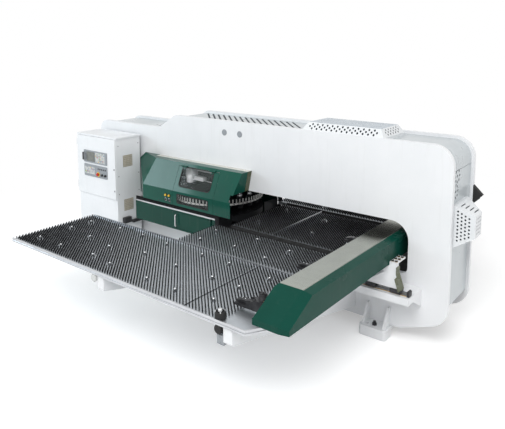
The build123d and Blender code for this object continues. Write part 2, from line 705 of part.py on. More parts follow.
# Foot brackets: a rounded base plate with two gussets, a levelling hole and an anchor hole
foot_right = x_right - FOOT_FROM_END
foot_centre = foot_right - FOOT_LENGTH / 2
foot_z = FRAME_LIFT - FOOT_PLATE
screw_y = -half_depth - SCREW_OUT
foot_places = (foot_centre, foot_centre - FOOT_SPAN)
with BuildPart() as foot_brackets:
    for centre in foot_places:
        with BuildSketch(Plane.XY.offset(foot_z)):
            with Locations((centre, -half_depth - FOOT_REACH)):
                Rectangle(FOOT_LENGTH, FOOT_REACH + PLATE_THICKNESS, align=(Align.CENTER, Align.MIN))
            fillet(vertices().group_by(Axis.Y)[0], FOOT_CORNER)
            with Locations((centre, screw_y)):
                Circle(SCREW_RADIUS + SCREW_CLEARANCE, mode=Mode.SUBTRACT)
            with Locations((centre - ANCHOR_SIDE, screw_y)):
                Circle(ANCHOR_RADIUS, mode=Mode.SUBTRACT)
        extrude(amount=FOOT_PLATE)
        for side in (-1, 1):
            gusset = centre + side * (FOOT_LENGTH / 2 - GUSSET_INSET) - GUSSET_THICKNESS / 2
            with BuildSketch(Plane.YZ.offset(gusset)):
                with BuildLine():
                    Polyline(
                        (-half_depth, FRAME_LIFT),
                        (-half_depth - FOOT_REACH + FOOT_CORNER, FRAME_LIFT),
                        (-half_depth - GUSSET_INSET, FRAME_LIFT + GUSSET_HEIGHT),
                        (-half_depth, FRAME_LIFT + GUSSET_HEIGHT),
                        close=True,
                    )
                make_face()
            extrude(amount=GUSSET_THICKNESS)
    mirror(about=Plane.XZ)
foot_brackets.part.label = "foot_brackets"
export_step(foot_brackets.part, "parts/foot_brackets.step")

# Levelling feet: pad, screw and nut
with BuildPart() as levelling_feet:
    for centre in foot_places:
        with Locations((centre, screw_y, 0)):
            Cone(PAD_RADIUS, PAD_RADIUS - PAD_CHAMFER, PAD_HEIGHT, align=stand)
            Cylinder(SCREW_RADIUS, FRAME_LIFT + SCREW_ABOVE, align=stand)
        with BuildSketch(Plane.XY.offset(FRAME_LIFT)):
            with Locations((centre, screw_y)):
                RegularPolygon(NUT_RADIUS, 6)
        extrude(amount=NUT_HEIGHT)
    mirror(about=Plane.XZ)
levelling_feet.part.label = "levelling_feet"
export_step(levelling_feet.part, "parts/levelling_feet.step")

# Rail shelves on both outer faces, each a plate with a front lip and gussets
shelf_right = x_right - SHELF_FROM_END
shelf_left = shelf_right - SHELF_LENGTH
shelf_front = -half_depth - SHELF_REACH
gusset_pitch = (SHELF_LENGTH - SHELF_GUSSET) / (SHELF_GUSSET_COUNT - 1)
with BuildPart() as rail_shelves:
    with BuildSketch(Plane.YZ.offset(shelf_left)):
        with BuildLine():
            Polyline(
                (-half_depth, SHELF_TOP_Z),
                (shelf_front, SHELF_TOP_Z),
                (shelf_front, SHELF_TOP_Z - SHELF_LIP),
                (shelf_front + SHELF_LIP_THICKNESS, SHELF_TOP_Z - SHELF_LIP),
                (shelf_front + SHELF_LIP_THICKNESS, SHELF_TOP_Z - SHELF_PLATE),
                (-half_depth, SHELF_TOP_Z - SHELF_PLATE),
                close=True,
            )
        make_face()
    extrude(amount=SHELF_LENGTH)
    for index in range(SHELF_GUSSET_COUNT):
        with BuildSketch(Plane.YZ.offset(shelf_left + index * gusset_pitch)):
            with BuildLine():
                Polyline(
                    (-half_depth, SHELF_TOP_Z - SHELF_PLATE),
                    (shelf_front + SHELF_LIP_THICKNESS, SHELF_TOP_Z - SHELF_PLATE),
                    (shelf_front + SHELF_LIP_THICKNESS, SHELF_TOP_Z - SHELF_LIP),
                    (-half_depth - SHELF_GUSSET_REACH, SHELF_TOP_Z - SHELF_LIP),
                    (-half_depth, SHELF_TOP_Z - SHELF_LIP - SHELF_GUSSET_DROP),
                    close=True,
                )
            make_face()
        extrude(amount=SHELF_GUSSET)
    mirror(about=Plane.XZ)
rail_shelves.part.label = "rail_shelves"
export_step(rail_shelves.part, "parts/rail_shelves.step")

# Linear rails with a waist under the running head
slot_y = -THROAT_TABLE_WIDTH / 2 - SLOT_WIDTH / 2
rail_length = SHELF_LENGTH - 2 * RAIL_END_INSET
with BuildPart() as rails:
    with BuildSketch(Plane.YZ.offset(shelf_left + RAIL_END_INSET)):
        with BuildLine():
            Polyline(
                (slot_y - RAIL_WIDTH / 2, SHELF_TOP_Z),
                (slot_y + RAIL_WIDTH / 2, SHELF_TOP_Z),
                (slot_y + RAIL_WIDTH / 2 - RAIL_WAIST, SHELF_TOP_Z + RAIL_HEIGHT / 2),
                (slot_y + RAIL_WIDTH / 2, SHELF_TOP_Z + RAIL_HEIGHT - RAIL_WAIST),
                (slot_y + RAIL_WIDTH / 2 - RAIL_WAIST, SHELF_TOP_Z + RAIL_HEIGHT),
                (slot_y - RAIL_WIDTH / 2 + RAIL_WAIST, SHELF_TOP_Z + RAIL_HEIGHT),
                (slot_y - RAIL_WIDTH / 2, SHELF_TOP_Z + RAIL_HEIGHT - RAIL_WAIST),
                (slot_y - RAIL_WIDTH / 2 + RAIL_WAIST, SHELF_TOP_Z + RAIL_HEIGHT / 2),
                close=True,
            )
        make_face()
    extrude(amount=rail_length)
    mirror(about=Plane.XZ)
rails.part.label = "rails"
export_step(rails.part, "parts/rails.step")

# Fixed tables beside and in the throat: sheet trays, the middle one on posts
table_right = x_right - TABLE_END_FROM_END
side_far = THROAT_TABLE_WIDTH / 2 + SLOT_WIDTH + SIDE_TABLE_WIDTH
side_mid = side_far - SIDE_TABLE_WIDTH / 2
side_x = table_right - SIDE_TABLE_LENGTH / 2
tray_foot = TABLE_TOP_Z - TABLE_TRAY_DEPTH
with BuildPart() as side_tables:
    with BuildSketch(Plane.XY.offset(tray_foot)):
        with Locations((side_x, -side_mid)):
            Rectangle(SIDE_TABLE_LENGTH, SIDE_TABLE_WIDTH)
    extrude(amount=TABLE_TRAY_DEPTH)
    with BuildSketch(Plane.XY.offset(tray_foot)):
        with Locations((side_x, -side_mid)):
            Rectangle(SIDE_TABLE_LENGTH - 2 * TABLE_SHEET, SIDE_TABLE_WIDTH - 2 * TABLE_SHEET)
    extrude(amount=TABLE_TRAY_DEPTH - TABLE_SHEET, mode=Mode.SUBTRACT)
    mirror(about=Plane.XZ)
side_tables.part.label = "side_tables"
export_step(side_tables.part, "parts/side_tables.step")

throat_x = table_right - THROAT_TABLE_LENGTH / 2
with BuildPart() as throat_table:
    with BuildSketch(Plane.XY.offset(tray_foot)):
        with Locations((throat_x, 0)):
            Rectangle(THROAT_TABLE_LENGTH, THROAT_TABLE_WIDTH)
    extrude(amount=TABLE_TRAY_DEPTH)
    with BuildSketch(Plane.XY.offset(tray_foot)):
        with Locations((throat_x, 0)):
            Rectangle(THROAT_TABLE_LENGTH - 2 * TABLE_SHEET, THROAT_TABLE_WIDTH - 2 * TABLE_SHEET)
    extrude(amount=TABLE_TRAY_DEPTH - TABLE_SHEET, mode=Mode.SUBTRACT)
    with BuildSketch(Plane.XY.offset(THROAT_FLOOR)):
        with Locations((throat_x, 0)):
            with GridLocations(THROAT_TABLE_LENGTH - 2 * POST_INSET_X, POST_SPACING_Y, 2, 2):
                Rectangle(POST_SIDE, POST_SIDE)
    extrude(amount=TABLE_TOP_Z - TABLE_SHEET - THROAT_FLOOR)
throat_table.part.label = "throat_table"
export_step(throat_table.part, "parts/throat_table.step")

# Rows of brush run at 45 degrees across each table, seen here as ridges on a mat
brush_height = BRUSH_TIP_Z - TABLE_TOP_Z
half_turn = sqrt(2) / 2
side_field = (SIDE_TABLE_LENGTH - 2 * BRUSH_MARGIN, SIDE_TABLE_WIDTH - 2 * BRUSH_MARGIN)
side_rows = int((side_field[0] + side_field[1]) * half_turn / BRUSH_PITCH)
side_row_plane = Plane(
    origin=(side_x, -side_mid, TABLE_TOP_Z),
    x_dir=(half_turn, half_turn, 0),
    z_dir=(half_turn, -half_turn, 0),
)
with BuildPart() as side_table_brushes:
    with BuildSketch(side_row_plane):
        Rectangle(side_field[0] + side_field[1], BRUSH_MAT, align=(Align.CENTER, Align.MIN))
        with GridLocations(BRUSH_PITCH, 0, side_rows, 1):
            Rectangle(BRUSH_WIDTH, brush_height, align=(Align.CENTER, Align.MIN))
    extrude(amount=side_field[0] + side_field[1], both=True)
    with Locations((side_x, -side_mid, TABLE_TOP_Z)):
        Box(side_field[0], side_field[1], brush_height, align=stand, mode=Mode.INTERSECT)
    mirror(about=Plane.XZ)
side_table_brushes.part.label = "side_table_brushes"
export_step(side_table_brushes.part, "parts/side_table_brushes.step")

throat_field = (THROAT_TABLE_LENGTH - 2 * BRUSH_MARGIN, THROAT_TABLE_WIDTH - 2 * BRUSH_MARGIN)
throat_rows = int((throat_field[0] + throat_field[1]) * half_turn / BRUSH_PITCH)
throat_row_plane = Plane(
    origin=(throat_x, 0, TABLE_TOP_Z),
    x_dir=(half_turn, half_turn, 0),
    z_dir=(half_turn, -half_turn, 0),
)
with BuildPart() as throat_table_brushes:
    with BuildSketch(throat_row_plane):
        Rectangle(throat_field[0] + throat_field[1], BRUSH_MAT, align=(Align.CENTER, Align.MIN))
        with GridLocations(BRUSH_PITCH, 0, throat_rows, 1):
            Rectangle(BRUSH_WIDTH, brush_height, align=(Align.CENTER, Align.MIN))
    extrude(amount=throat_field[0] + throat_field[1], both=True)
    with Locations((throat_x, 0, TABLE_TOP_Z)):
        Box(throat_field[0], throat_field[1], brush_height, align=stand, mode=Mode.INTERSECT)
    with Locations((x_right - THROAT_SEAM_FROM_END, 0, TABLE_TOP_Z)):
        Box(BRUSH_SEAM, throat_field[1], brush_height, align=stand, mode=Mode.SUBTRACT)
throat_table_brushes.part.label = "throat_table_brushes"
export_step(throat_table_brushes.part, "parts/throat_table_brushes.step")

# Wings that ride with the beam, each a tray with a tongue under the beam
wing_right = x_right - WING_END_FROM_END
wing_left = wing_right - WING_LENGTH
wing_near = side_far + WING_GAP
wing_far = wing_near + WING_WIDTH
wing_foot = TABLE_TOP_Z - WING_TRAY_DEPTH
with BuildSketch() as wing_outline:
    with BuildLine():
        Polyline(
            (wing_left, -wing_near),
            (wing_left, -wing_far),
            (wing_right, -wing_far),
            (wing_right + WING_TONGUE, -wing_far + WING_TONGUE_CUT),
            (wing_right + WING_TONGUE, -wing_near),
            close=True,
        )
    make_face()
with BuildPart() as wings:
    with BuildSketch(Plane.XY.offset(wing_foot)):
        add(wing_outline.sketch_local)
    extrude(amount=WING_TRAY_DEPTH)
    with BuildSketch(Plane.XY.offset(wing_foot)):
        add(wing_outline.sketch_local)
        offset(amount=-TABLE_SHEET)
    extrude(amount=WING_TRAY_DEPTH - TABLE_SHEET, mode=Mode.SUBTRACT)
    mirror(about=Plane.XZ)
wings.part.label = "wings"
export_step(wings.part, "parts/wings.step")

# Grooved edge rail along the outer edge and the cut corner of each wing
rail_foot = TABLE_TOP_Z - EDGE_RAIL_BELOW
rail_rise = EDGE_RAIL_BELOW + EDGE_RAIL_ABOVE
groove_foot = rail_foot + (rail_rise - EDGE_GROOVE_HEIGHT) / 2
with BuildSketch() as edge_band:
    add(wing_outline.sketch_local)
    offset(amount=EDGE_RAIL, kind=Kind.INTERSECTION)
    add(wing_outline.sketch_local, mode=Mode.SUBTRACT)
    with Locations((wing_left, -wing_far - EDGE_RAIL)):
        Rectangle(WING_LENGTH + WING_TONGUE, EDGE_RAIL + WING_TONGUE_CUT, align=low, mode=Mode.INTERSECT)
with BuildSketch() as groove_band:
    add(wing_outline.sketch_local)
    offset(amount=EDGE_RAIL, kind=Kind.INTERSECTION)
    with BuildSketch(mode=Mode.PRIVATE) as groove_inner:
        add(wing_outline.sketch_local)
        offset(amount=EDGE_RAIL - EDGE_GROOVE, kind=Kind.INTERSECTION)
    add(groove_inner.sketch_local, mode=Mode.SUBTRACT)
with BuildPart() as wing_rails:
    with BuildSketch(Plane.XY.offset(rail_foot)):
        add(edge_band.sketch_local)
    extrude(amount=rail_rise)
    with BuildSketch(Plane.XY.offset(groove_foot)):
        add(groove_band.sketch_local)
    extrude(amount=EDGE_GROOVE_HEIGHT, mode=Mode.SUBTRACT)
    mirror(about=Plane.XZ)
wing_rails.part.label = "wing_rails"
export_step(wing_rails.part, "parts/wing_rails.step")

wing_field = (WING_LENGTH - WING_BARE - BRUSH_MARGIN, WING_WIDTH - 2 * BRUSH_MARGIN)
wing_field_x = wing_left + BRUSH_MARGIN + wing_field[0] / 2
wing_mid = wing_near + WING_WIDTH / 2
wing_rows = int((wing_field[0] + wing_field[1]) * half_turn / BRUSH_PITCH)
wing_row_plane = Plane(
    origin=(wing_field_x, -wing_mid, TABLE_TOP_Z),
    x_dir=(half_turn, half_turn, 0),
    z_dir=(half_turn, -half_turn, 0),
)
with BuildPart() as wing_brushes:
    with BuildSketch(wing_row_plane):
        Rectangle(wing_field[0] + wing_field[1], BRUSH_MAT, align=(Align.CENTER, Align.MIN))
        with GridLocations(BRUSH_PITCH, 0, wing_rows, 1):
            Rectangle(BRUSH_WIDTH, brush_height, align=(Align.CENTER, Align.MIN))
    extrude(amount=wing_field[0] + wing_field[1], both=True)
    with Locations((wing_field_x, -wing_mid, TABLE_TOP_Z)):
        Box(wing_field[0], wing_field[1], brush_height, align=stand, mode=Mode.INTERSECT)
    mirror(about=Plane.XZ)
wing_brushes.part.label = "wing_brushes"
export_step(wing_brushes.part, "parts/wing_brushes.step")

# Cantilever arms: tapered boxes stepped down under the rail shelf, with a lug for a roller
arm_top = tray_foot
arm_tip = -wing_far + ARM_TIP_BACK
lug_face = -wing_far + LUG_BACK
arm_step = shelf_front - ARM_STEP_BACK
arm_neck_z = SHELF_TOP_Z - SHELF_LIP - SHELF_GUSSET_DROP
arm_places = (x_right - ARM_RIGHT_FROM_END, x_right - ARM_RIGHT_FROM_END - ARM_SPACING)
roller_z = wing_foot - EDGE_RAIL_BELOW + WING_TRAY_DEPTH - RUN_GAP - ROLLER_RADIUS
roller_y = -wing_far - EDGE_RAIL / 2
with BuildPart() as support_arms:
    for centre in arm_places:
        with BuildSketch(Plane.YZ.offset(centre - ARM_WIDTH / 2)):
            with BuildLine():
                Polyline(
                    (-half_depth, arm_neck_z),
                    (arm_step, arm_neck_z),
                    (arm_step, arm_top),
                    (arm_tip, arm_top),
                    (arm_tip, arm_top - ARM_TIP_HEIGHT),
                    (-half_depth, ARM_ROOT_FOOT_Z),
                    close=True,
                )
            make_face()
            fillet(vertices().sort_by_distance((arm_tip, arm_top - ARM_TIP_HEIGHT))[0], ARM_TIP_RADIUS)
        extrude(amount=ARM_WIDTH)
        with BuildSketch(Plane.XZ.offset(-lug_face - LUG_THICKNESS)):
            with Locations((centre - ARM_WIDTH / 2 - ROLLER_OUT, roller_z)):
                Circle(ROLLER_RADIUS - ROLLER_BEVEL)
            with Locations((centre - ARM_WIDTH / 2, roller_z + ROLLER_RADIUS - ROLLER_BEVEL)):
                Rectangle(ROLLER_OUT, LUG_HEIGHT, align=(Align.MAX, Align.MAX))
            with Locations((centre - ARM_WIDTH / 2 - ROLLER_OUT, roller_z)):
                Circle(ROLLER_AXLE_RADIUS + RUN_GAP, mode=Mode.SUBTRACT)
        extrude(amount=LUG_THICKNESS)
    mirror(about=Plane.XZ)
support_arms.part.label = "support_arms"
export_step(support_arms.part, "parts/support_arms.step")

# Rollers under the wing rails, each with its axle through the lug
roller_root = -lug_face - LUG_THICKNESS
roller_reach = wing_far + EDGE_RAIL - roller_root
for centre, place in zip(arm_places, ("right", "left")):
    for side, end in ((-1, "front"), (1, "rear")):
        with BuildPart() as roller:
            with BuildSketch(Plane.XY):
                with BuildLine():
                    Polyline(
                        (0, 0),
                        (ROLLER_AXLE_RADIUS, 0),
                        (ROLLER_AXLE_RADIUS, roller_reach - ROLLER_WIDTH),
                        (ROLLER_RADIUS - ROLLER_BEVEL, roller_reach - ROLLER_WIDTH),
                        (ROLLER_RADIUS, roller_reach - ROLLER_WIDTH + ROLLER_BEVEL),
                        (ROLLER_RADIUS, roller_reach - ROLLER_BEVEL),
                        (ROLLER_RADIUS - ROLLER_BEVEL, roller_reach),
                        (0, roller_reach),
                        close=True,
                    )
                make_face()
            revolve(axis=Axis.Y)
        turn = 180 if side < 0 else 0
        lug_x = centre - ARM_WIDTH / 2 - ROLLER_OUT
        name = end + "_" + place + "_roller"
        placed = roller.part.rotate(Axis.Z, turn).moved(Location((lug_x, side * roller_root, roller_z)))
        placed.label = name
        export_step(placed, "parts/" + name + ".step")

# Carriage beam cover: one bent section closed by slanted ends with a lip
beam_left = x_right - BEAM_LEFT_FROM_END
beam_right = beam_left + BEAM_WIDTH
beam_end = wing_far + EDGE_RAIL - BEAM_END_BACK
with BuildSketch(Plane.XZ) as beam_section:
    with BuildLine():
        Polyline(
            (beam_left, BEAM_FOOT_Z),
            (beam_left, BEAM_TOP_Z - BEAM_LEFT_CHAMFER),
            (beam_left + BEAM_LEFT_CHAMFER, BEAM_TOP_Z),
            (beam_right - BEAM_RIGHT_CHAMFER_RUN, BEAM_TOP_Z),
            (beam_right, BEAM_TOP_Z - BEAM_RIGHT_CHAMFER_DROP),
            (beam_right, BEAM_FOOT_Z),
            close=True,
        )
    make_face()
with BuildSketch(Plane.YZ) as beam_side:
    with BuildLine():
        Polyline(
            (-beam_end, BEAM_FOOT_Z),
            (-beam_end, BEAM_FOOT_Z + BEAM_LIP),
            (-beam_end + BEAM_END_RUN, BEAM_TOP_Z),
            (beam_end - BEAM_END_RUN, BEAM_TOP_Z),
            (beam_end, BEAM_FOOT_Z + BEAM_LIP),
            (beam_end, BEAM_FOOT_Z),
            close=True,
        )
    make_face()
end_rise = BEAM_TOP_Z - BEAM_FOOT_Z - BEAM_LIP
end_slant = sqrt(BEAM_END_RUN**2 + end_rise**2)
end_y = BEAM_END_RUN / end_slant
end_z = end_rise / end_slant
strip_fall = BEAM_RIGHT_CHAMFER_DROP / BEAM_RIGHT_CHAMFER_RUN
with BuildSketch() as strip_cut:
    with BuildLine():
        Polyline(
            (-BEAM_RIGHT_CHAMFER_RUN, 0),
            (OVERRUN, BEAM_RIGHT_CHAMFER_DROP + OVERRUN * strip_fall),
            (OVERRUN, -OVERRUN),
            (-BEAM_RIGHT_CHAMFER_RUN, -OVERRUN),
            close=True,
        )
    make_face()
beam_blocks = []
for inset in (0, BEAM_SHEET):
    slant_plane = Plane(
        origin=(
            beam_right - inset,
            -beam_end + inset * end_z - OVERRUN * end_y,
            BEAM_FOOT_Z + BEAM_LIP - inset * end_y - OVERRUN * end_z,
        ),
        x_dir=(1, 0, 0),
        z_dir=(0, end_y, end_z),
    )
    with BuildPart() as end_strips:
        with BuildSketch(slant_plane):
            add(strip_cut.sketch_local)
        extrude(amount=end_slant + 2 * OVERRUN)
        with BuildSketch(Plane((beam_right - inset, -beam_end + inset, BEAM_FOOT_Z - OVERRUN))):
            add(strip_cut.sketch_local)
        extrude(amount=BEAM_LIP + 2 * OVERRUN)
        mirror(about=Plane.XZ)
    with BuildPart() as beam_block:
        with BuildSketch(Plane.XZ):
            add(beam_section.sketch_local)
            if inset:
                offset(amount=-inset, kind=Kind.INTERSECTION)
        extrude(amount=beam_end, both=True)
        with BuildSketch(Plane.YZ.offset(beam_left)):
            add(beam_side.sketch_local)
            if inset:
                offset(amount=-inset, kind=Kind.INTERSECTION)
        extrude(amount=BEAM_WIDTH, mode=Mode.INTERSECT)
        add(end_strips.part, mode=Mode.SUBTRACT)
        if inset:
            extrude(faces().sort_by(Axis.Z)[0], amount=2 * BEAM_SHEET)
    beam_blocks.append(beam_block.part)
with BuildPart() as beam_cover:
    add(beam_blocks[0])
    add(beam_blocks[1], mode=Mode.SUBTRACT)
    with Locations((beam_left, 0, BEAM_FOOT_Z)):
        Box(
            BEAM_SHEET,
            2 * beam_end - 2 * BEAM_SHEET,
            BEAM_TOP_Z - BEAM_LEFT_WALL - BEAM_FOOT_Z,
            align=(Align.MIN, Align.CENTER, Align.MIN),
            mode=Mode.SUBTRACT,
        )
beam_cover.part.label = "beam_cover"
export_step(beam_cover.part, "parts/beam_cover.step")

# Girder inside the cover, a box section with hangers that carry the wings
girder_left = beam_left + GIRDER_INSET
girder_x = girder_left + GIRDER_WIDTH / 2
girder_end = beam_end - GIRDER_END_BACK
rail_z = CROSS_BAR_FOOT_Z + CROSS_RAIL_LIFT
hanger_near = wing_near + HANGER_FROM_EDGE
hanger_far = wing_far - WING_TONGUE_CUT - HANGER_LENGTH / 2 - OVERRUN
with BuildPart() as beam_girder:
    with BuildSketch(Plane.XZ):
        with Locations((girder_x, GIRDER_FOOT_Z + GIRDER_HEIGHT / 2)):
            Rectangle(GIRDER_WIDTH, GIRDER_HEIGHT)
            Rectangle(GIRDER_WIDTH - 2 * GIRDER_WALL, GIRDER_HEIGHT - 2 * GIRDER_WALL, mode=Mode.SUBTRACT)
        with Locations((girder_left, rail_z)):
            Rectangle(CROSS_RAIL_DEPTH, CROSS_RAIL_HEIGHT, align=(Align.MAX, Align.CENTER))
    extrude(amount=girder_end, both=True)
    with BuildSketch(Plane.XY.offset(TABLE_TOP_Z)):
        with Locations((girder_x, -hanger_near), (girder_x, -hanger_far)):
            Rectangle(GIRDER_WIDTH, HANGER_LENGTH)
        with Locations((girder_x, hanger_near), (girder_x, hanger_far)):
            Rectangle(GIRDER_WIDTH, HANGER_LENGTH)
    extrude(amount=GIRDER_FOOT_Z - TABLE_TOP_Z)
    with BuildSketch(Plane.XZ.offset(girder_end)):
        with Locations((girder_x, BEAM_TOP_Z - BEAM_SHEET)):
            Rectangle(GIRDER_WIDTH, BEAM_TOP_Z - BEAM_SHEET - GIRDER_FOOT_Z, align=(Align.CENTER, Align.MAX))
    extrude(amount=-GIRDER_WALL)
    with BuildSketch(Plane.XZ.offset(-girder_end)):
        with Locations((girder_x, BEAM_TOP_Z - BEAM_SHEET)):
            Rectangle(GIRDER_WIDTH, BEAM_TOP_Z - BEAM_SHEET - GIRDER_FOOT_Z, align=(Align.CENTER, Align.MAX))
    extrude(amount=GIRDER_WALL)
beam_girder.part.label = "beam_girder"
export_step(beam_girder.part, "parts/beam_girder.step")

# Saddles: necked plates that run in the table slots and carry the beam, with a bolted ledge
saddle_right = x_right - SADDLE_RIGHT_FROM_END
saddle_left = saddle_right - SADDLE_LENGTH
neck_right = x_right - SADDLE_NECK_FROM_END
neck_left = neck_right - SADDLE_NECK
saddle_foot = SHELF_TOP_Z + RAIL_HEIGHT + BLOCK_ROOF
ledge_left = beam_right + LEDGE_GAP
ledge_z = BEAM_FOOT_Z + LEDGE_TOP_ABOVE
under_beam = BEAM_FOOT_Z - LEDGE_GAP
with BuildPart() as saddles:
    with BuildSketch(Plane.XZ.offset(-slot_y - SADDLE_THICKNESS / 2)):
        with BuildLine():
            Polyline(
                (saddle_left, saddle_foot),
                (saddle_right, saddle_foot),
                (neck_right, SADDLE_NECK_Z),
                (neck_right, ledge_z),
                (ledge_left, ledge_z),
                (ledge_left, under_beam),
                (girder_left + GIRDER_WIDTH, under_beam),
                (girder_left + GIRDER_WIDTH, GIRDER_FOOT_Z),
                (girder_left, GIRDER_FOOT_Z),
                (girder_left, SADDLE_HEAD_Z),
                (neck_left, SADDLE_NECK_Z),
                close=True,
            )
        make_face()
    extrude(amount=SADDLE_THICKNESS)
    with Locations((ledge_left, slot_y - SADDLE_THICKNESS / 2, ledge_z - LEDGE_THICKNESS)):
        Box(neck_right - ledge_left, LEDGE_DEPTH, LEDGE_THICKNESS, align=low3)
    with Locations(((ledge_left + neck_right) / 2, slot_y - SADDLE_THICKNESS / 2 + LEDGE_DEPTH / 2, ledge_z)):
        with GridLocations((neck_right - ledge_left) / 2, LEDGE_DEPTH / 3, 2, 3):
            Cylinder(LEDGE_BOLT_RADIUS, LEDGE_BOLT_HEIGHT, align=stand)
    mirror(about=Plane.XZ)
saddles.part.label = "saddles"
export_step(saddles.part, "parts/saddles.step")

# Bent shields on the right edge of the saddles
with BuildPart() as saddle_shields:
    with BuildSketch(Plane.XZ.offset(-slot_y - SHIELD_WIDTH / 2)):
        with BuildLine():
            Polyline(
                (saddle_right, saddle_foot),
                (saddle_right + SHIELD_SHEET, saddle_foot),
                (neck_right + SHIELD_SHEET, SADDLE_NECK_Z),
                (neck_right + SHIELD_SHEET, under_beam),
                (neck_right, under_beam),
                (neck_right, SADDLE_NECK_Z),
                close=True,
            )
        make_face()
    extrude(amount=SHIELD_WIDTH)
    mirror(about=Plane.XZ)
saddle_shields.part.label = "saddle_shields"
export_step(saddle_shields.part, "parts/saddle_shields.step")

# Bearing blocks that straddle the rails
block_foot = SHELF_TOP_Z + BLOCK_LIFT
with BuildPart() as bearing_blocks:
    for place in (saddle_left, saddle_right - BLOCK_LENGTH):
        with BuildSketch(Plane.YZ.offset(place)):
            with Locations((slot_y, block_foot)):
                Rectangle(BLOCK_WIDTH, saddle_foot - block_foot, align=(Align.CENTER, Align.MIN))
            chamfer(vertices().group_by(Axis.Y)[-1], BLOCK_CHAMFER)
            with Locations((slot_y, block_foot)):
                Rectangle(
                    RAIL_WIDTH + 2 * RUN_GAP,
                    SHELF_TOP_Z + RAIL_HEIGHT + RUN_GAP - block_foot,
                    align=(Align.CENTER, Align.MIN),
                    mode=Mode.SUBTRACT,
                )
        extrude(amount=BLOCK_LENGTH)
    mirror(about=Plane.XZ)
bearing_blocks.part.label = "bearing_blocks"
export_step(bearing_blocks.part, "parts/bearing_blocks.step")

# Cross slide: a long bar with guide blocks hooked over the girder's rail
bar_right = girder_left - CROSS_RAIL_DEPTH - CROSS_BAR_GAP
bar_left = bar_right - CROSS_BAR
clamp_front = -beam_end + CLAMP_FRONT
clamp_places = (clamp_front, clamp_front + CLAMP_SPACING, clamp_front + 2 * CLAMP_SPACING)
bar_length = 2 * CLAMP_SPACING + 2 * CROSS_BAR_OVERHANG
with BuildPart() as cross_slide:
    with Locations((bar_left, clamp_front - CROSS_BAR_OVERHANG, CROSS_BAR_FOOT_Z)):
        Box(CROSS_BAR, bar_length, CROSS_BAR_HEIGHT, align=low3)
    for place in clamp_places:
        with BuildSketch(Plane.XZ.offset(-place - CROSS_SLIDE_BLOCK / 2)):
            with Locations((bar_right, rail_z)):
                Rectangle(
                    CROSS_BAR_GAP + CROSS_RAIL_DEPTH - RUN_GAP,
                    CROSS_BAR_HEIGHT - 2 * CROSS_RAIL_HEIGHT,
                    align=(Align.MIN, Align.CENTER),
                )
            with Locations((bar_right + CROSS_BAR_GAP - RUN_GAP, rail_z)):
                Rectangle(
                    CROSS_RAIL_DEPTH + RUN_GAP,
                    CROSS_RAIL_HEIGHT + 2 * RUN_GAP,
                    align=(Align.MIN, Align.CENTER),
                    mode=Mode.SUBTRACT,
                )
        extrude(amount=CROSS_SLIDE_BLOCK)
cross_slide.part.label = "cross_slide"
export_step(cross_slide.part, "parts/cross_slide.step")

# Workholders: tapered lower jaw, heel with ears, air cylinder and cap
clamp_tip = bar_left - CLAMP_REACH
jaw_foot = CLAMP_JAW_Z + CLAMP_JAW_HEIGHT + CLAMP_MOUTH
heel_left = bar_left - CLAMP_HEEL
pin_x = heel_left - EAR_LENGTH / 2
pin_z = jaw_foot + JAW_THICKNESS / 2
with BuildPart() as clamp_bodies:
    for place in clamp_places:
        with BuildSketch(Plane.XZ.offset(-place - CLAMP_WIDTH / 2)):
            with BuildLine():
                Polyline(
                    (clamp_tip, CLAMP_JAW_Z),
                    (bar_left, CLAMP_JAW_Z),
                    (bar_left, CLAMP_JAW_Z + CLAMP_JAW_HEIGHT + CLAMP_HEEL_HEIGHT),
                    (heel_left, CLAMP_JAW_Z + CLAMP_JAW_HEIGHT + CLAMP_HEEL_HEIGHT),
                    (heel_left, CLAMP_JAW_Z + CLAMP_JAW_HEIGHT),
                    (clamp_tip, CLAMP_JAW_Z + CLAMP_JAW_HEIGHT),
                    close=True,
                )
            make_face()
        extrude(amount=CLAMP_WIDTH)
        with Locations(
            ((heel_left + bar_left) / 2, place, CLAMP_JAW_Z + CLAMP_JAW_HEIGHT + CLAMP_HEEL_HEIGHT)
        ):
            Cylinder(CLAMP_CYLINDER_RADIUS, CLAMP_CYLINDER_HEIGHT, align=stand)
            Cylinder(CLAMP_CAP_RADIUS, CLAMP_CYLINDER_HEIGHT + CLAMP_CAP_HEIGHT, align=stand)
        for side in (-1, 1):
            ear_y = place + side * (JAW_WIDTH / 2 + EAR_GAP + EAR_THICKNESS / 2)
            with BuildSketch(Plane.XZ.offset(-ear_y - EAR_THICKNESS / 2)):
                with Locations((heel_left, CLAMP_JAW_Z + CLAMP_JAW_HEIGHT)):
                    Rectangle(EAR_LENGTH, EAR_HEIGHT, align=(Align.MAX, Align.MIN))
                fillet(vertices().group_by(Axis.X)[0].sort_by(Axis.Y)[-1], EAR_LENGTH / 3)
                with Locations((pin_x, pin_z)):
                    Circle(JAW_PIN_RADIUS + RUN_GAP, mode=Mode.SUBTRACT)
            extrude(amount=EAR_THICKNESS)
clamp_bodies.part.label = "clamp_bodies"
export_step(clamp_bodies.part, "parts/clamp_bodies.step")

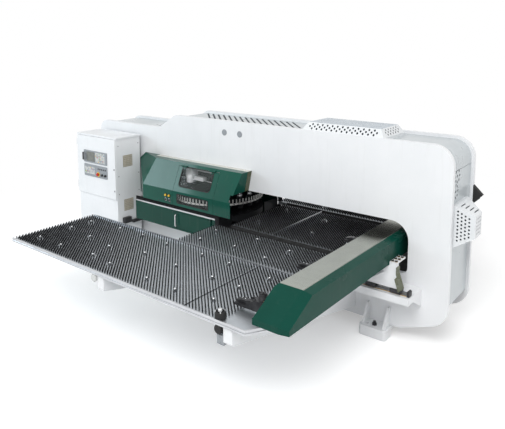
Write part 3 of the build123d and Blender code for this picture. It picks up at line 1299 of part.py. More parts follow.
# Upper jaws, each a tapered lever with its pin
for place, end in zip(clamp_places, ("front", "middle", "rear")):
    with BuildPart() as jaw:
        with BuildSketch(Plane.XZ.offset(-place - JAW_WIDTH / 2)):
            with BuildLine():
                Polyline(
                    (clamp_tip, jaw_foot),
                    (heel_left - JAW_BACK_GAP, jaw_foot),
                    (heel_left - JAW_BACK_GAP, jaw_foot + JAW_THICKNESS),
                    (pin_x - JAW_TAIL, jaw_foot + JAW_THICKNESS),
                    (clamp_tip, jaw_foot + JAW_THICKNESS - CLAMP_TAPER),
                    close=True,
                )
            make_face()
        extrude(amount=JAW_WIDTH)
        with BuildSketch(Plane.XZ.offset(-place - (JAW_WIDTH + 2 * EAR_GAP + 2 * EAR_THICKNESS) / 2)):
            with Locations((pin_x, pin_z)):
                Circle(JAW_PIN_RADIUS)
        extrude(amount=JAW_WIDTH + 2 * EAR_GAP + 2 * EAR_THICKNESS)
    jaw.part.label = end + "_jaw"
    export_step(jaw.part, "parts/" + end + "_jaw.step")

# Turret hood: a folded shell with a hipped left end and a leaning right end, open at the back
hood_right = x_right - HOOD_RIGHT_FROM_END
hood_left = hood_right - HOOD_LENGTH
hood_front = -half_depth - HOOD_REACH
hood_ridge = -half_depth - HOOD_TOP_SHELF
door_left = x_right - HOOD_DOOR_LEFT_FROM_END
door_right = door_left + HOOD_DOOR_LENGTH
slope_length = sqrt((hood_ridge - hood_front) ** 2 + (HOOD_TOP_Z - HOOD_FOLD_Z) ** 2)
slope_y = (hood_ridge - hood_front) / slope_length
slope_z = (HOOD_TOP_Z - HOOD_FOLD_Z) / slope_length
with BuildSketch(Plane.YZ) as hood_profile:
    with BuildLine():
        Polyline(
            (-half_depth, HOOD_FOOT_Z),
            (hood_front, HOOD_FOOT_Z),
            (hood_front, HOOD_FOLD_Z),
            (hood_ridge, HOOD_TOP_Z),
            (-half_depth, HOOD_TOP_Z),
            close=True,
        )
    make_face()
with BuildSketch(Plane.YZ) as hood_hollow:
    add(hood_profile.sketch_local)
    offset(amount=-HOOD_SHEET, kind=Kind.INTERSECTION)
    with Locations((-half_depth - OVERRUN, HOOD_FOOT_Z)):
        Rectangle(OVERRUN, HOOD_TOP_Z - HOOD_SHEET - HOOD_FOOT_Z, align=low)
    with Locations((hood_front + HOOD_SHEET, HOOD_FOOT_Z)):
        Rectangle(HOOD_REACH - HOOD_SHEET, 2 * HOOD_SHEET, align=low)
hip_left = hood_left - HOOD_HIP
hip_run = HOOD_HIP / HOOD_REACH
hip_wall = HOOD_SHEET * sqrt(1 + hip_run**2)
lean_run = HOOD_LEAN / (HOOD_TOP_Z - HOOD_FOLD_Z)
lean_wall = HOOD_SHEET * sqrt(1 + lean_run**2)
hood_reach_x = HOOD_LENGTH + HOOD_HIP + HOOD_LEAN
hip_edge = Vector(HOOD_HIP_BACK, hood_ridge - hood_front, HOOD_TOP_Z - HOOD_FOLD_Z)
hip_fall = Vector(-HOOD_HIP, HOOD_REACH, HOOD_TOP_Z - HOOD_HIP_DROP - HOOD_FOLD_Z)
hip_plane = Plane(origin=(hood_left, hood_front, HOOD_FOLD_Z), z_dir=hip_edge.cross(hip_fall))
with BuildSketch() as hood_plan:
    with BuildLine():
        Polyline(
            (hood_left, hood_front),
            (hood_right + HOOD_LEAN, hood_front),
            (hood_right + HOOD_LEAN, -half_depth),
            (hip_left, -half_depth),
            close=True,
        )
    make_face()
with BuildSketch() as hood_plan_hollow:
    with BuildLine():
        Polyline(
            (hood_left - HOOD_SHEET * hip_run + hip_wall, hood_front + HOOD_SHEET),
            (hood_right + HOOD_LEAN, hood_front + HOOD_SHEET),
            (hood_right + HOOD_LEAN, -half_depth),
            (hip_left + hip_wall, -half_depth),
            close=True,
        )
    make_face()
with BuildSketch(Plane.XZ) as hood_face:
    with BuildLine():
        Polyline(
            (hip_left, HOOD_FOOT_Z),
            (hood_right, HOOD_FOOT_Z),
            (hood_right, HOOD_FOLD_Z),
            (hood_right + HOOD_LEAN, HOOD_TOP_Z),
            (hip_left, HOOD_TOP_Z),
            close=True,
        )
    make_face()
with BuildSketch(Plane.XZ) as hood_face_hollow:
    with BuildLine():
        Polyline(
            (hip_left, HOOD_FOOT_Z),
            (hood_right - HOOD_SHEET, HOOD_FOOT_Z),
            (hood_right - HOOD_SHEET, HOOD_FOLD_Z + (lean_wall - HOOD_SHEET) / lean_run),
            (hood_right + HOOD_LEAN - lean_wall, HOOD_TOP_Z),
            (hip_left, HOOD_TOP_Z),
            close=True,
        )
    make_face()
with BuildPart() as hood_core:
    with BuildSketch(Plane.YZ.offset(hip_left)):
        add(hood_hollow.sketch_local)
    extrude(amount=hood_reach_x)
    with BuildSketch(Plane.XY.offset(HOOD_FOOT_Z)):
        add(hood_plan_hollow.sketch_local)
    extrude(amount=HOOD_TOP_Z - HOOD_FOOT_Z, mode=Mode.INTERSECT)
    with BuildSketch(Plane.XZ.offset(half_depth)):
        add(hood_face_hollow.sketch_local)
    extrude(amount=HOOD_REACH, mode=Mode.INTERSECT)
    split(bisect_by=hip_plane.offset(-HOOD_SHEET), keep=Keep.BOTTOM)
with BuildPart() as hood_skin:
    with BuildSketch(Plane.YZ.offset(hip_left)):
        add(hood_profile.sketch_local)
    extrude(amount=hood_reach_x)
    with BuildSketch(Plane.XY.offset(HOOD_FOOT_Z)):
        add(hood_plan.sketch_local)
    extrude(amount=HOOD_TOP_Z - HOOD_FOOT_Z, mode=Mode.INTERSECT)
    with BuildSketch(Plane.XZ.offset(half_depth)):
        add(hood_face.sketch_local)
    extrude(amount=HOOD_REACH, mode=Mode.INTERSECT)
    split(bisect_by=hip_plane, keep=Keep.BOTTOM)
    add(hood_core.part, mode=Mode.SUBTRACT)
strip_y = hood_ridge - slope_y * HOOD_STRIP
strip_z = HOOD_TOP_Z - slope_z * HOOD_STRIP
with BuildSketch(Plane.YZ) as door_reach:
    with BuildLine():
        Polyline(
            (hood_front - OVERRUN, HOOD_FOOT_Z - OVERRUN),
            (hood_front - OVERRUN, strip_z + (strip_y - hood_front + OVERRUN) * slope_y / slope_z),
            (strip_y, strip_z),
            (strip_y + slope_z * OVERRUN, strip_z - slope_y * OVERRUN),
            (hood_front + 2 * OVERRUN, HOOD_FOLD_Z - OVERRUN),
            (hood_front + 2 * OVERRUN, HOOD_FOOT_Z - OVERRUN),
            close=True,
        )
    make_face()
door_mid = (door_left + door_right) / 2
slope_plane = Plane(
    origin=(door_mid, hood_front, HOOD_FOLD_Z),
    x_dir=(1, 0, 0),
    z_dir=(0, -slope_z, slope_y),
)
hinge_along = slope_length - HOOD_STRIP - HOOD_DOOR_GAP / 2
hinge_rise = HINGE_RADIUS + RUN_GAP
hinge_y = hood_front + slope_y * hinge_along - slope_z * hinge_rise
hinge_z = HOOD_FOLD_Z + slope_z * hinge_along + slope_y * hinge_rise
hinge_length = 2 * HINGE_END + 2 * HINGE_SPLIT + HINGE_MIDDLE
hinge_places = (door_left + HINGE_INSET, door_right - HINGE_INSET - hinge_length)
with BuildPart() as hood_shell:
    add(hood_skin.part)
    with BuildSketch(Plane.YZ.offset(hood_right - HOOD_SHEET - OVERRUN)):
        with Locations((hood_front + HOOD_SHEET, HOOD_FOOT_Z)):
            Rectangle(HOOD_REACH, HOOD_SIDE_FOOT_Z - HOOD_FOOT_Z, align=low)
        fillet(vertices().group_by(Axis.X)[0].sort_by(Axis.Y)[-1], HOOD_RIGHT_RADIUS)
    extrude(amount=HOOD_SHEET + HOOD_LEAN + 2 * OVERRUN, mode=Mode.SUBTRACT)
    mirror(about=Plane.XZ)
    with BuildSketch(Plane.YZ.offset(door_left)):
        add(door_reach.sketch_local)
    extrude(amount=HOOD_DOOR_LENGTH, mode=Mode.SUBTRACT)
    for place in hinge_places:
        for start in (place, place + hinge_length - HINGE_END):
            with BuildSketch(slope_plane):
                with Locations((start - door_mid, hinge_along + HINGE_ROOT)):
                    Rectangle(HINGE_END, HINGE_LEAF_WIDTH, align=low)
            extrude(amount=HINGE_LEAF)
            with BuildSketch(Plane.YZ.offset(start)):
                with Locations((hinge_y, hinge_z)):
                    Circle(HINGE_RADIUS)
                    Circle(HINGE_PIN_RADIUS + RUN_GAP, mode=Mode.SUBTRACT)
            extrude(amount=HINGE_END)
hood_shell.part.label = "hood_shell"
export_step(hood_shell.part, "parts/hood_shell.step")

# Lifting hood door with a slanted and an upright window opening and hinge barrels along its top
window_left = door_left + WINDOW_MARGIN
window_right = door_right - WINDOW_RIGHT_MARGIN
window_x = (window_left + window_right) / 2
window_shift = window_x - door_mid
window_low = slope_length * WINDOW_LOW_SHARE
window_high = slope_length * WINDOW_HIGH_SHARE
low_window_z = HOOD_FOOT_Z + LOW_WINDOW_FOOT
with BuildPart() as hood_door:
    add(hood_skin.part)
    with BuildSketch(Plane.YZ.offset(door_left + HOOD_DOOR_GAP)):
        add(door_reach.sketch_local)
    extrude(amount=HOOD_DOOR_LENGTH - 2 * HOOD_DOOR_GAP, mode=Mode.INTERSECT)
    with BuildSketch(slope_plane):
        with Locations((0, slope_length - HOOD_STRIP - HOOD_DOOR_GAP)):
            Rectangle(HOOD_DOOR_LENGTH, HOOD_STRIP, align=(Align.CENTER, Align.MIN))
    extrude(amount=-HOOD_SHEET - OVERRUN, mode=Mode.SUBTRACT)
    for place in hinge_places:
        middle = place + HINGE_END + HINGE_SPLIT
        with BuildSketch(slope_plane):
            with Locations((middle + HINGE_MIDDLE / 2 - door_mid, hinge_along - HINGE_ROOT)):
                Rectangle(HINGE_MIDDLE, HINGE_LEAF_WIDTH, align=(Align.CENTER, Align.MAX))
        extrude(amount=HINGE_LEAF)
        with BuildSketch(Plane.YZ.offset(middle)):
            with Locations((hinge_y, hinge_z)):
                Circle(HINGE_RADIUS)
        extrude(amount=HINGE_MIDDLE)
        with BuildSketch(Plane.YZ.offset(place)):
            with Locations((hinge_y, hinge_z)):
                Circle(HINGE_PIN_RADIUS)
        extrude(amount=hinge_length)
    with BuildSketch(slope_plane):
        with Locations((window_shift, (window_low + window_high) / 2)):
            RectangleRounded(window_right - window_left, window_high - window_low, WINDOW_RADIUS)
    extrude(amount=-HOOD_SHEET - OVERRUN, mode=Mode.SUBTRACT)
    with BuildSketch(Plane.XZ.offset(-hood_front)):
        with Locations((window_x, low_window_z + LOW_WINDOW_HEIGHT / 2)):
            RectangleRounded(window_right - window_left, LOW_WINDOW_HEIGHT, LOW_WINDOW_RADIUS)
    extrude(amount=-HOOD_SHEET - OVERRUN, mode=Mode.SUBTRACT)
hood_door.part.label = "hood_door"
export_step(hood_door.part, "parts/hood_door.step")

# Window panes behind the door's openings
with BuildPart() as upper_window:
    with BuildSketch(slope_plane.offset(-HOOD_SHEET)):
        with Locations((window_shift, (window_low + window_high) / 2)):
            RectangleRounded(
                window_right - window_left + 2 * WINDOW_LAP,
                window_high - window_low + 2 * WINDOW_LAP,
                WINDOW_RADIUS,
            )
    extrude(amount=-WINDOW_GLASS)
upper_window.part.label = "upper_window"
export_step(upper_window.part, "parts/upper_window.step")

with BuildPart() as lower_window:
    with BuildSketch(Plane.XZ.offset(-hood_front - HOOD_SHEET)):
        with Locations((window_x, low_window_z + LOW_WINDOW_HEIGHT / 2)):
            RectangleRounded(
                window_right - window_left + 2 * WINDOW_LAP,
                LOW_WINDOW_HEIGHT + 2 * WINDOW_LAP,
                LOW_WINDOW_RADIUS,
            )
    extrude(amount=-WINDOW_GLASS)
lower_window.part.label = "lower_window"
export_step(lower_window.part, "parts/lower_window.step")

# Push buttons on the hood, each in its own bezel
for index, end in enumerate(("left", "right")):
    button_x = door_left - BUTTON_FROM_DOOR - (1 - index) * BUTTON_SPACING
    with BuildPart() as button:
        with BuildSketch(Plane.XZ.offset(-hood_front + BUTTON_TRAVEL)):
            with Locations((button_x, BUTTON_Z)):
                Circle(BUTTON_RADIUS)
        extrude(amount=BUTTON_HEIGHT)
        chamfer(faces().sort_by(Axis.Y)[0].edges(), BUTTON_TRAVEL / 2)
    button.part.label = end + "_button"
    export_step(button.part, "parts/" + end + "_button.step")
with BuildPart() as button_bezels:
    with BuildSketch(Plane.XZ.offset(-hood_front)):
        with Locations(
            (door_left - BUTTON_FROM_DOOR, BUTTON_Z),
            (door_left - BUTTON_FROM_DOOR - BUTTON_SPACING, BUTTON_Z),
        ):
            Circle(BUTTON_RADIUS + BUTTON_BEZEL)
    extrude(amount=BUTTON_BEZEL_HEIGHT)
    with BuildSketch(Plane.XZ.offset(-hood_front + BUTTON_BEZEL_HEIGHT)):
        with Locations(
            (door_left - BUTTON_FROM_DOOR, BUTTON_Z),
            (door_left - BUTTON_FROM_DOOR - BUTTON_SPACING, BUTTON_Z),
        ):
            Circle(BUTTON_RADIUS + RUN_GAP)
    extrude(amount=-BUTTON_BEZEL_HEIGHT, mode=Mode.SUBTRACT)
button_bezels.part.label = "button_bezels"
export_step(button_bezels.part, "parts/button_bezels.step")

# Base box below the hood, open at the top and the back, with a door opening
base_left = x_right - BASE_LEFT_FROM_END
base_right = base_left + BASE_LENGTH
base_front = -half_depth - BASE_REACH
base_door_left = x_right - BASE_DOOR_LEFT_FROM_END
base_door_right = base_door_left + BASE_DOOR_LENGTH
base_door_foot = BASE_FOOT_Z + BASE_DOOR_INSET_Z
base_door_height = BASE_TOP_Z - BASE_FOOT_Z - 2 * BASE_DOOR_INSET_Z
base_pin_x = base_door_right - BASE_DOOR_GAP - BASE_PIN_RADIUS
base_pin_y = base_front - BASE_PIN_RADIUS - RUN_GAP
with BuildPart() as base_shell:
    with Locations((base_left, base_front, BASE_FOOT_Z)):
        Box(BASE_LENGTH, BASE_REACH, BASE_TOP_Z - BASE_FOOT_Z, align=low3)
    with Locations((base_left + BASE_SHEET, base_front + BASE_SHEET, BASE_FOOT_Z + BASE_SHEET)):
        Box(
            BASE_LENGTH - 2 * BASE_SHEET,
            BASE_REACH,
            BASE_TOP_Z - BASE_FOOT_Z,
            align=low3,
            mode=Mode.SUBTRACT,
        )
    mirror(about=Plane.XZ)
    with BuildSketch(Plane.XZ.offset(-base_front)):
        with Locations((base_door_left, base_door_foot)):
            Rectangle(BASE_DOOR_LENGTH, base_door_height, align=low)
    extrude(amount=-BASE_SHEET, mode=Mode.SUBTRACT)
    for foot in (base_door_foot - BASE_LUG_HEIGHT, base_door_foot + base_door_height):
        with BuildSketch(Plane.XY.offset(foot)):
            with Locations((base_pin_x, base_pin_y)):
                Circle(BASE_PIN_RADIUS + BASE_LUG_WALL)
                Circle(BASE_PIN_RADIUS + RUN_GAP, mode=Mode.SUBTRACT)
            with Locations((base_pin_x, base_front + BASE_SHEET)):
                Rectangle(
                    2 * BASE_PIN_RADIUS + 2 * BASE_LUG_WALL,
                    BASE_REACH,
                    align=(Align.CENTER, Align.MIN),
                    mode=Mode.SUBTRACT,
                )
        extrude(amount=BASE_LUG_HEIGHT)
base_shell.part.label = "base_shell"
export_step(base_shell.part, "parts/base_shell.step")

# Base door, a sheet panel hung on a pin at its right edge
with BuildPart() as base_door:
    with BuildSketch(Plane.XZ.offset(-base_front)):
        with Locations((base_door_left + BASE_DOOR_GAP, base_door_foot + BASE_DOOR_GAP)):
            Rectangle(
                BASE_DOOR_LENGTH - 2 * BASE_DOOR_GAP, base_door_height - 2 * BASE_DOOR_GAP, align=low
            )
    extrude(amount=-BASE_SHEET)
    with Locations((base_pin_x, base_pin_y, base_door_foot - BASE_LUG_HEIGHT)):
        Cylinder(BASE_PIN_RADIUS, base_door_height + 2 * BASE_LUG_HEIGHT, align=stand)
    with Locations((base_pin_x, base_front, base_door_foot + BASE_DOOR_GAP)):
        Box(
            BASE_PIN_RADIUS,
            BASE_PIN_RADIUS,
            base_door_height - 2 * BASE_DOOR_GAP,
            align=(Align.CENTER, Align.MAX, Align.MIN),
        )
base_door.part.label = "base_door"
export_step(base_door.part, "parts/base_door.step")

# Pull handle on the base door
handle_x = base_door_left + HANDLE_INSET
handle_z = (BASE_FOOT_Z + BASE_TOP_Z) / 2
with BuildPart() as door_handle:
    with BuildLine() as handle_path:
        FilletPolyline(
            (handle_x, base_front, handle_z - HANDLE_HEIGHT / 2),
            (handle_x, base_front - HANDLE_STAND, handle_z - HANDLE_HEIGHT / 2),
            (handle_x, base_front - HANDLE_STAND, handle_z + HANDLE_HEIGHT / 2),
            (handle_x, base_front, handle_z + HANDLE_HEIGHT / 2),
            radius=HANDLE_STAND / 2,
        )
    with BuildSketch(Plane(origin=handle_path.line @ 0, z_dir=handle_path.line % 0)):
        Circle(HANDLE_RADIUS)
    sweep()
door_handle.part.label = "door_handle"
export_step(door_handle.part, "parts/door_handle.step")

# Bristle strip on the base's upper edge, where the sheet passes
with BuildPart() as bristle_strip:
    with Locations((base_left, base_front, BASE_TOP_Z)):
        Box(BASE_LENGTH, STRIP_THICKNESS, STRIP_HEIGHT, align=low3)
    mirror(about=Plane.XZ)
bristle_strip.part.label = "bristle_strip"
export_step(bristle_strip.part, "parts/bristle_strip.step")

# Upper turret: a rimmed disc on a spindle, with punch heads above and guides below
upper_top = UPPER_FOOT_Z + UPPER_THICKNESS
with BuildPart() as upper_turret:
    with BuildSketch(Plane.XZ):
        with BuildLine():
            Polyline(
                (0, UPPER_FOOT_Z),
                (TURRET_RADIUS, UPPER_FOOT_Z),
                (TURRET_RADIUS, upper_top),
                (TURRET_RADIUS - TURRET_RIM, upper_top),
                (TURRET_PITCH_RADIUS - 2 * GUIDE_RADIUS, upper_top),
                (TURRET_PITCH_RADIUS - 2 * GUIDE_RADIUS, upper_top - TURRET_WEB),
                (2 * TURRET_SPINDLE_RADIUS, upper_top - TURRET_WEB),
                (TURRET_SPINDLE_RADIUS, upper_top),
                (TURRET_SPINDLE_RADIUS, THROAT_TOP + LINING),
                (0, THROAT_TOP + LINING),
                close=True,
            )
        make_face()
    revolve(axis=Axis.Z)
    with Locations((0, 0, upper_top)):
        with PolarLocations(TURRET_PITCH_RADIUS, TURRET_STATIONS):
            Cylinder(HEAD_RADIUS, HEAD_HEIGHT, align=stand)
    with Locations((0, 0, UPPER_FOOT_Z)):
        with PolarLocations(TURRET_PITCH_RADIUS, TURRET_STATIONS):
            Cylinder(GUIDE_RADIUS, GUIDE_DROP, align=hang)
upper = upper_turret.part.moved(Location((turret_x, 0, 0)))
upper.label = "upper_turret"
export_step(upper, "parts/upper_turret.step")

# Lower turret: a rimmed disc on a spindle, with a bored die at each station
with BuildPart() as lower_turret:
    with BuildSketch(Plane.XZ):
        with BuildLine():
            Polyline(
                (0, THROAT_FLOOR - LINING),
                (TURRET_SPINDLE_RADIUS, THROAT_FLOOR - LINING),
                (TURRET_SPINDLE_RADIUS, LOWER_TOP_Z - LOWER_THICKNESS),
                (TURRET_RADIUS, LOWER_TOP_Z - LOWER_THICKNESS),
                (TURRET_RADIUS, LOWER_TOP_Z),
                (0, LOWER_TOP_Z),
                close=True,
            )
        make_face()
    revolve(axis=Axis.Z)
    with Locations((0, 0, LOWER_TOP_Z)):
        with PolarLocations(TURRET_PITCH_RADIUS, TURRET_STATIONS):
            Cylinder(DIE_RADIUS, DIE_HEIGHT, align=stand)
    with Locations((0, 0, LOWER_TOP_Z + DIE_HEIGHT)):
        with PolarLocations(TURRET_PITCH_RADIUS, TURRET_STATIONS):
            Cylinder(DIE_BORE_RADIUS, 2 * DIE_HEIGHT, align=hang, mode=Mode.SUBTRACT)
lower = lower_turret.part.moved(Location((turret_x, 0, 0)))
lower.label = "lower_turret"
export_step(lower, "parts/lower_turret.step")

# Ram and its housing above the throat
ram_foot = upper_top + HEAD_HEIGHT + RAM_STRIKE_GAP + RAM_STROKE
with BuildPart() as ram_housing:
    with BuildSketch(Plane.XY.offset(THROAT_TOP + LINING)):
        with Locations((ram_x, 0)):
            Rectangle(RAM_HOUSING_WIDTH, RAM_HOUSING_WIDTH)
        chamfer(vertices(), RAM_HOUSING_CHAMFER)
        with Locations((ram_x, 0)):
            Circle(RAM_RADIUS + RUN_GAP, mode=Mode.SUBTRACT)
    extrude(amount=RAM_HOUSING_HEIGHT)
ram_housing.part.label = "ram_housing"
export_step(ram_housing.part, "parts/ram_housing.step")

with BuildPart() as ram:
    with Locations((ram_x, 0, ram_foot)):
        Cylinder(RAM_RADIUS, RAM_LENGTH, align=stand)
    chamfer(faces().sort_by(Axis.Z)[0].edges(), RAM_STRIKE_GAP * 4)
ram.part.label = "ram"
export_step(ram.part, "parts/ram.step")

# Control cabinet: a sheet box on a plinth with a lipped roof, vents and a door opening
cabinet_left = x_right - CABINET_LEFT_FROM_END
cabinet_right = cabinet_left + CABINET_LENGTH
cabinet_back = -half_depth - CABINET_STANDOFF
cabinet_front = cabinet_back - CABINET_DEPTH
cabinet_door_top = CABINET_TOP_Z - CABINET_ROOF - CABINET_DOOR_GAP
cabinet_door_foot = CABINET_DOOR_FOOT_Z - CABINET_FRAME
door_face = cabinet_front - RUN_GAP - CABINET_DOOR_THICKNESS
cabinet_hinge_x = cabinet_left + CABINET_DOOR_GAP - HINGE_RADIUS - RUN_GAP
cabinet_hinge_y = door_face + HINGE_RADIUS
cabinet_hinges = (cabinet_door_foot + HINGE_INSET, cabinet_door_top - HINGE_INSET - hinge_length)
opening_foot = CABINET_DOOR_FOOT_Z
opening_top = CABINET_TOP_Z - CABINET_ROOF - CABINET_FRAME
opening_length = CABINET_LENGTH - 2 * CABINET_FRAME
with BuildPart() as cabinet_body:
    with Locations((cabinet_left + CABINET_PLINTH_INSET, cabinet_front + CABINET_PLINTH_INSET, 0)):
        Box(
            CABINET_LENGTH - 2 * CABINET_PLINTH_INSET,
            CABINET_DEPTH - 2 * CABINET_PLINTH_INSET,
            CABINET_PLINTH,
            align=low3,
        )
    with Locations((cabinet_left, cabinet_front, CABINET_PLINTH)):
        Box(CABINET_LENGTH, CABINET_DEPTH, CABINET_TOP_Z - CABINET_PLINTH - CABINET_ROOF, align=low3)
    with Locations(
        (cabinet_left - CABINET_ROOF_LIP, cabinet_front - CABINET_ROOF_LIP, CABINET_TOP_Z - CABINET_ROOF)
    ):
        Box(
            CABINET_LENGTH + 2 * CABINET_ROOF_LIP,
            CABINET_DEPTH + 2 * CABINET_ROOF_LIP,
            CABINET_ROOF,
            align=low3,
        )
    with Locations((cabinet_left + CABINET_SHEET, cabinet_front + CABINET_SHEET, CABINET_PLINTH + CABINET_SHEET)):
        Box(
            CABINET_LENGTH - 2 * CABINET_SHEET,
            CABINET_DEPTH - 2 * CABINET_SHEET,
            CABINET_TOP_Z - CABINET_PLINTH - CABINET_ROOF - 2 * CABINET_SHEET,
            align=low3,
            mode=Mode.SUBTRACT,
        )
    with Locations((cabinet_left + CABINET_FRAME, cabinet_front, opening_foot)):
        Box(opening_length, CABINET_SHEET, opening_top - opening_foot, align=low3, mode=Mode.SUBTRACT)
    with BuildSketch(Plane.YZ.offset(cabinet_right)):
        with Locations(
            (cabinet_front + CABINET_VENT_FROM_FRONT, CABINET_VENT_HIGH_Z),
            (cabinet_front + CABINET_VENT_FROM_FRONT, CABINET_VENT_LOW_Z),
        ):
            with GridLocations(CABINET_VENT_PITCH, CABINET_VENT_PITCH, CABINET_VENT_COUNT, CABINET_VENT_COUNT):
                Rectangle(CABINET_VENT_HOLE, CABINET_VENT_HOLE)
    extrude(amount=-CABINET_SHEET, mode=Mode.SUBTRACT)
    with Locations(
        (cabinet_left, cabinet_back, HOOD_FOOT_Z - 2 * CABINET_STAY),
        (cabinet_right - CABINET_STAY, cabinet_back, HOOD_FOOT_Z - 2 * CABINET_STAY),
    ):
        Box(CABINET_STAY, CABINET_STANDOFF, CABINET_STAY, align=low3)
    for place in cabinet_hinges:
        for start in (place, place + hinge_length - HINGE_END):
            with Locations((cabinet_left, cabinet_hinge_y, start)):
                Box(
                    HINGE_LEAF,
                    cabinet_front - cabinet_hinge_y + HINGE_LEAF_WIDTH,
                    HINGE_END,
                    align=(Align.MAX, Align.MIN, Align.MIN),
                )
            with BuildSketch(Plane.XY.offset(start)):
                with Locations((cabinet_hinge_x, cabinet_hinge_y)):
                    Circle(HINGE_RADIUS)
            extrude(amount=HINGE_END)
            with BuildSketch(Plane.XY.offset(start)):
                with Locations((cabinet_hinge_x, cabinet_hinge_y)):
                    Circle(HINGE_PIN_RADIUS + RUN_GAP)
            extrude(amount=HINGE_END, mode=Mode.SUBTRACT)
cabinet_body.part.label = "cabinet_body"
export_step(cabinet_body.part, "parts/cabinet_body.step")

# Cabinet door, a folded panel in front of the opening, with hinge barrels on its left edge
cabinet_door_length = CABINET_LENGTH - 2 * CABINET_DOOR_GAP
with BuildPart() as cabinet_door:
    with Locations((cabinet_left + CABINET_DOOR_GAP, door_face, cabinet_door_foot)):
        Box(
            cabinet_door_length,
            CABINET_DOOR_THICKNESS,
            cabinet_door_top - cabinet_door_foot,
            align=low3,
        )
    chamfer(faces().sort_by(Axis.Y)[0].edges(), CABINET_DOOR_GAP)
    with Locations(
        (
            cabinet_left + CABINET_DOOR_GAP + CABINET_SHEET,
            door_face + CABINET_SHEET,
            cabinet_door_foot + CABINET_SHEET,
        )
    ):
        Box(
            cabinet_door_length - 2 * CABINET_SHEET,
            CABINET_DOOR_THICKNESS,
            cabinet_door_top - cabinet_door_foot - 2 * CABINET_SHEET,
            align=low3,
            mode=Mode.SUBTRACT,
        )
    for place in cabinet_hinges:
        middle = place + HINGE_END + HINGE_SPLIT
        with Locations((cabinet_hinge_x, cabinet_hinge_y, middle)):
            Box(
                HINGE_RADIUS + RUN_GAP + HINGE_LEAF,
                HINGE_LEAF,
                HINGE_MIDDLE,
                align=(Align.MIN, Align.CENTER, Align.MIN),
            )
            Cylinder(HINGE_RADIUS, HINGE_MIDDLE, align=stand)
        with Locations((cabinet_hinge_x, cabinet_hinge_y, place)):
            Cylinder(HINGE_PIN_RADIUS, hinge_length, align=stand)
cabinet_door.part.label = "cabinet_door"
export_step(cabinet_door.part, "parts/cabinet_door.step")

# Two bezels on the door, the upper one recessed for the screen, and a card reader
panel_left = cabinet_left + PANEL_INSET
panel_face = door_face - PANEL_THICKNESS
estop_x = panel_left + ESTOP_FROM_LEFT
estop_z = LOWER_PANEL_FOOT_Z + ESTOP_PLATE + KNOB_RADIUS
knob_z = estop_z
knob_right = panel_left + PANEL_LENGTH - ESTOP_PLATE
knob_places = (knob_right - KNOB_SPACING, knob_right)
screen_x = panel_left + SCREEN_INSET + SCREEN_LENGTH / 2
screen_z = UPPER_PANEL_FOOT_Z + UPPER_PANEL_HEIGHT / 2
with BuildPart() as panel_bezels:
    with BuildSketch(Plane.XZ.offset(-door_face)):
        with Locations((panel_left + PANEL_LENGTH / 2, UPPER_PANEL_FOOT_Z + UPPER_PANEL_HEIGHT / 2)):
            RectangleRounded(PANEL_LENGTH, UPPER_PANEL_HEIGHT, PANEL_RADIUS)
        with Locations((panel_left + PANEL_LENGTH / 2, LOWER_PANEL_FOOT_Z + LOWER_PANEL_HEIGHT / 2)):
            RectangleRounded(PANEL_LENGTH, LOWER_PANEL_HEIGHT, PANEL_RADIUS)
    extrude(amount=PANEL_THICKNESS)
    with BuildSketch(Plane.XZ.offset(-panel_face)):
        with Locations((screen_x, screen_z)):
            Rectangle(SCREEN_LENGTH, SCREEN_HEIGHT)
    extrude(amount=-SCREEN_RECESS, mode=Mode.SUBTRACT)
    with BuildSketch(Plane.XZ.offset(-panel_face)):
        with Locations((panel_left + READER_LENGTH / 2 + PANEL_RADIUS / 2, screen_z)):
            RectangleRounded(READER_LENGTH, READER_HEIGHT, PANEL_RADIUS / 2)
    extrude(amount=READER_DEPTH)
    with BuildSketch(Plane.XZ.offset(-panel_face)):
        with Locations((estop_x, estop_z)):
            Circle(ESTOP_PLATE)
    extrude(amount=ESTOP_PLATE_HEIGHT)
    with BuildSketch(Plane.XZ.offset(-panel_face + ESTOP_PLATE_HEIGHT)):
        with Locations((estop_x, estop_z)):
            Circle(ESTOP_STEM + RUN_GAP)
    extrude(amount=-ESTOP_PLATE_HEIGHT - ESTOP_TRAVEL, mode=Mode.SUBTRACT)
panel_bezels.part.label = "panel_bezels"
export_step(panel_bezels.part, "parts/panel_bezels.step")

with BuildPart() as screen:
    with BuildSketch(Plane.XZ.offset(-panel_face - SCREEN_RECESS)):
        with Locations((screen_x, screen_z)):
            Rectangle(SCREEN_LENGTH - SCREEN_RECESS, SCREEN_HEIGHT - SCREEN_RECESS)
    extrude(amount=SCREEN_RECESS / 2)
screen.part.label = "screen"
export_step(screen.part, "parts/screen.step")

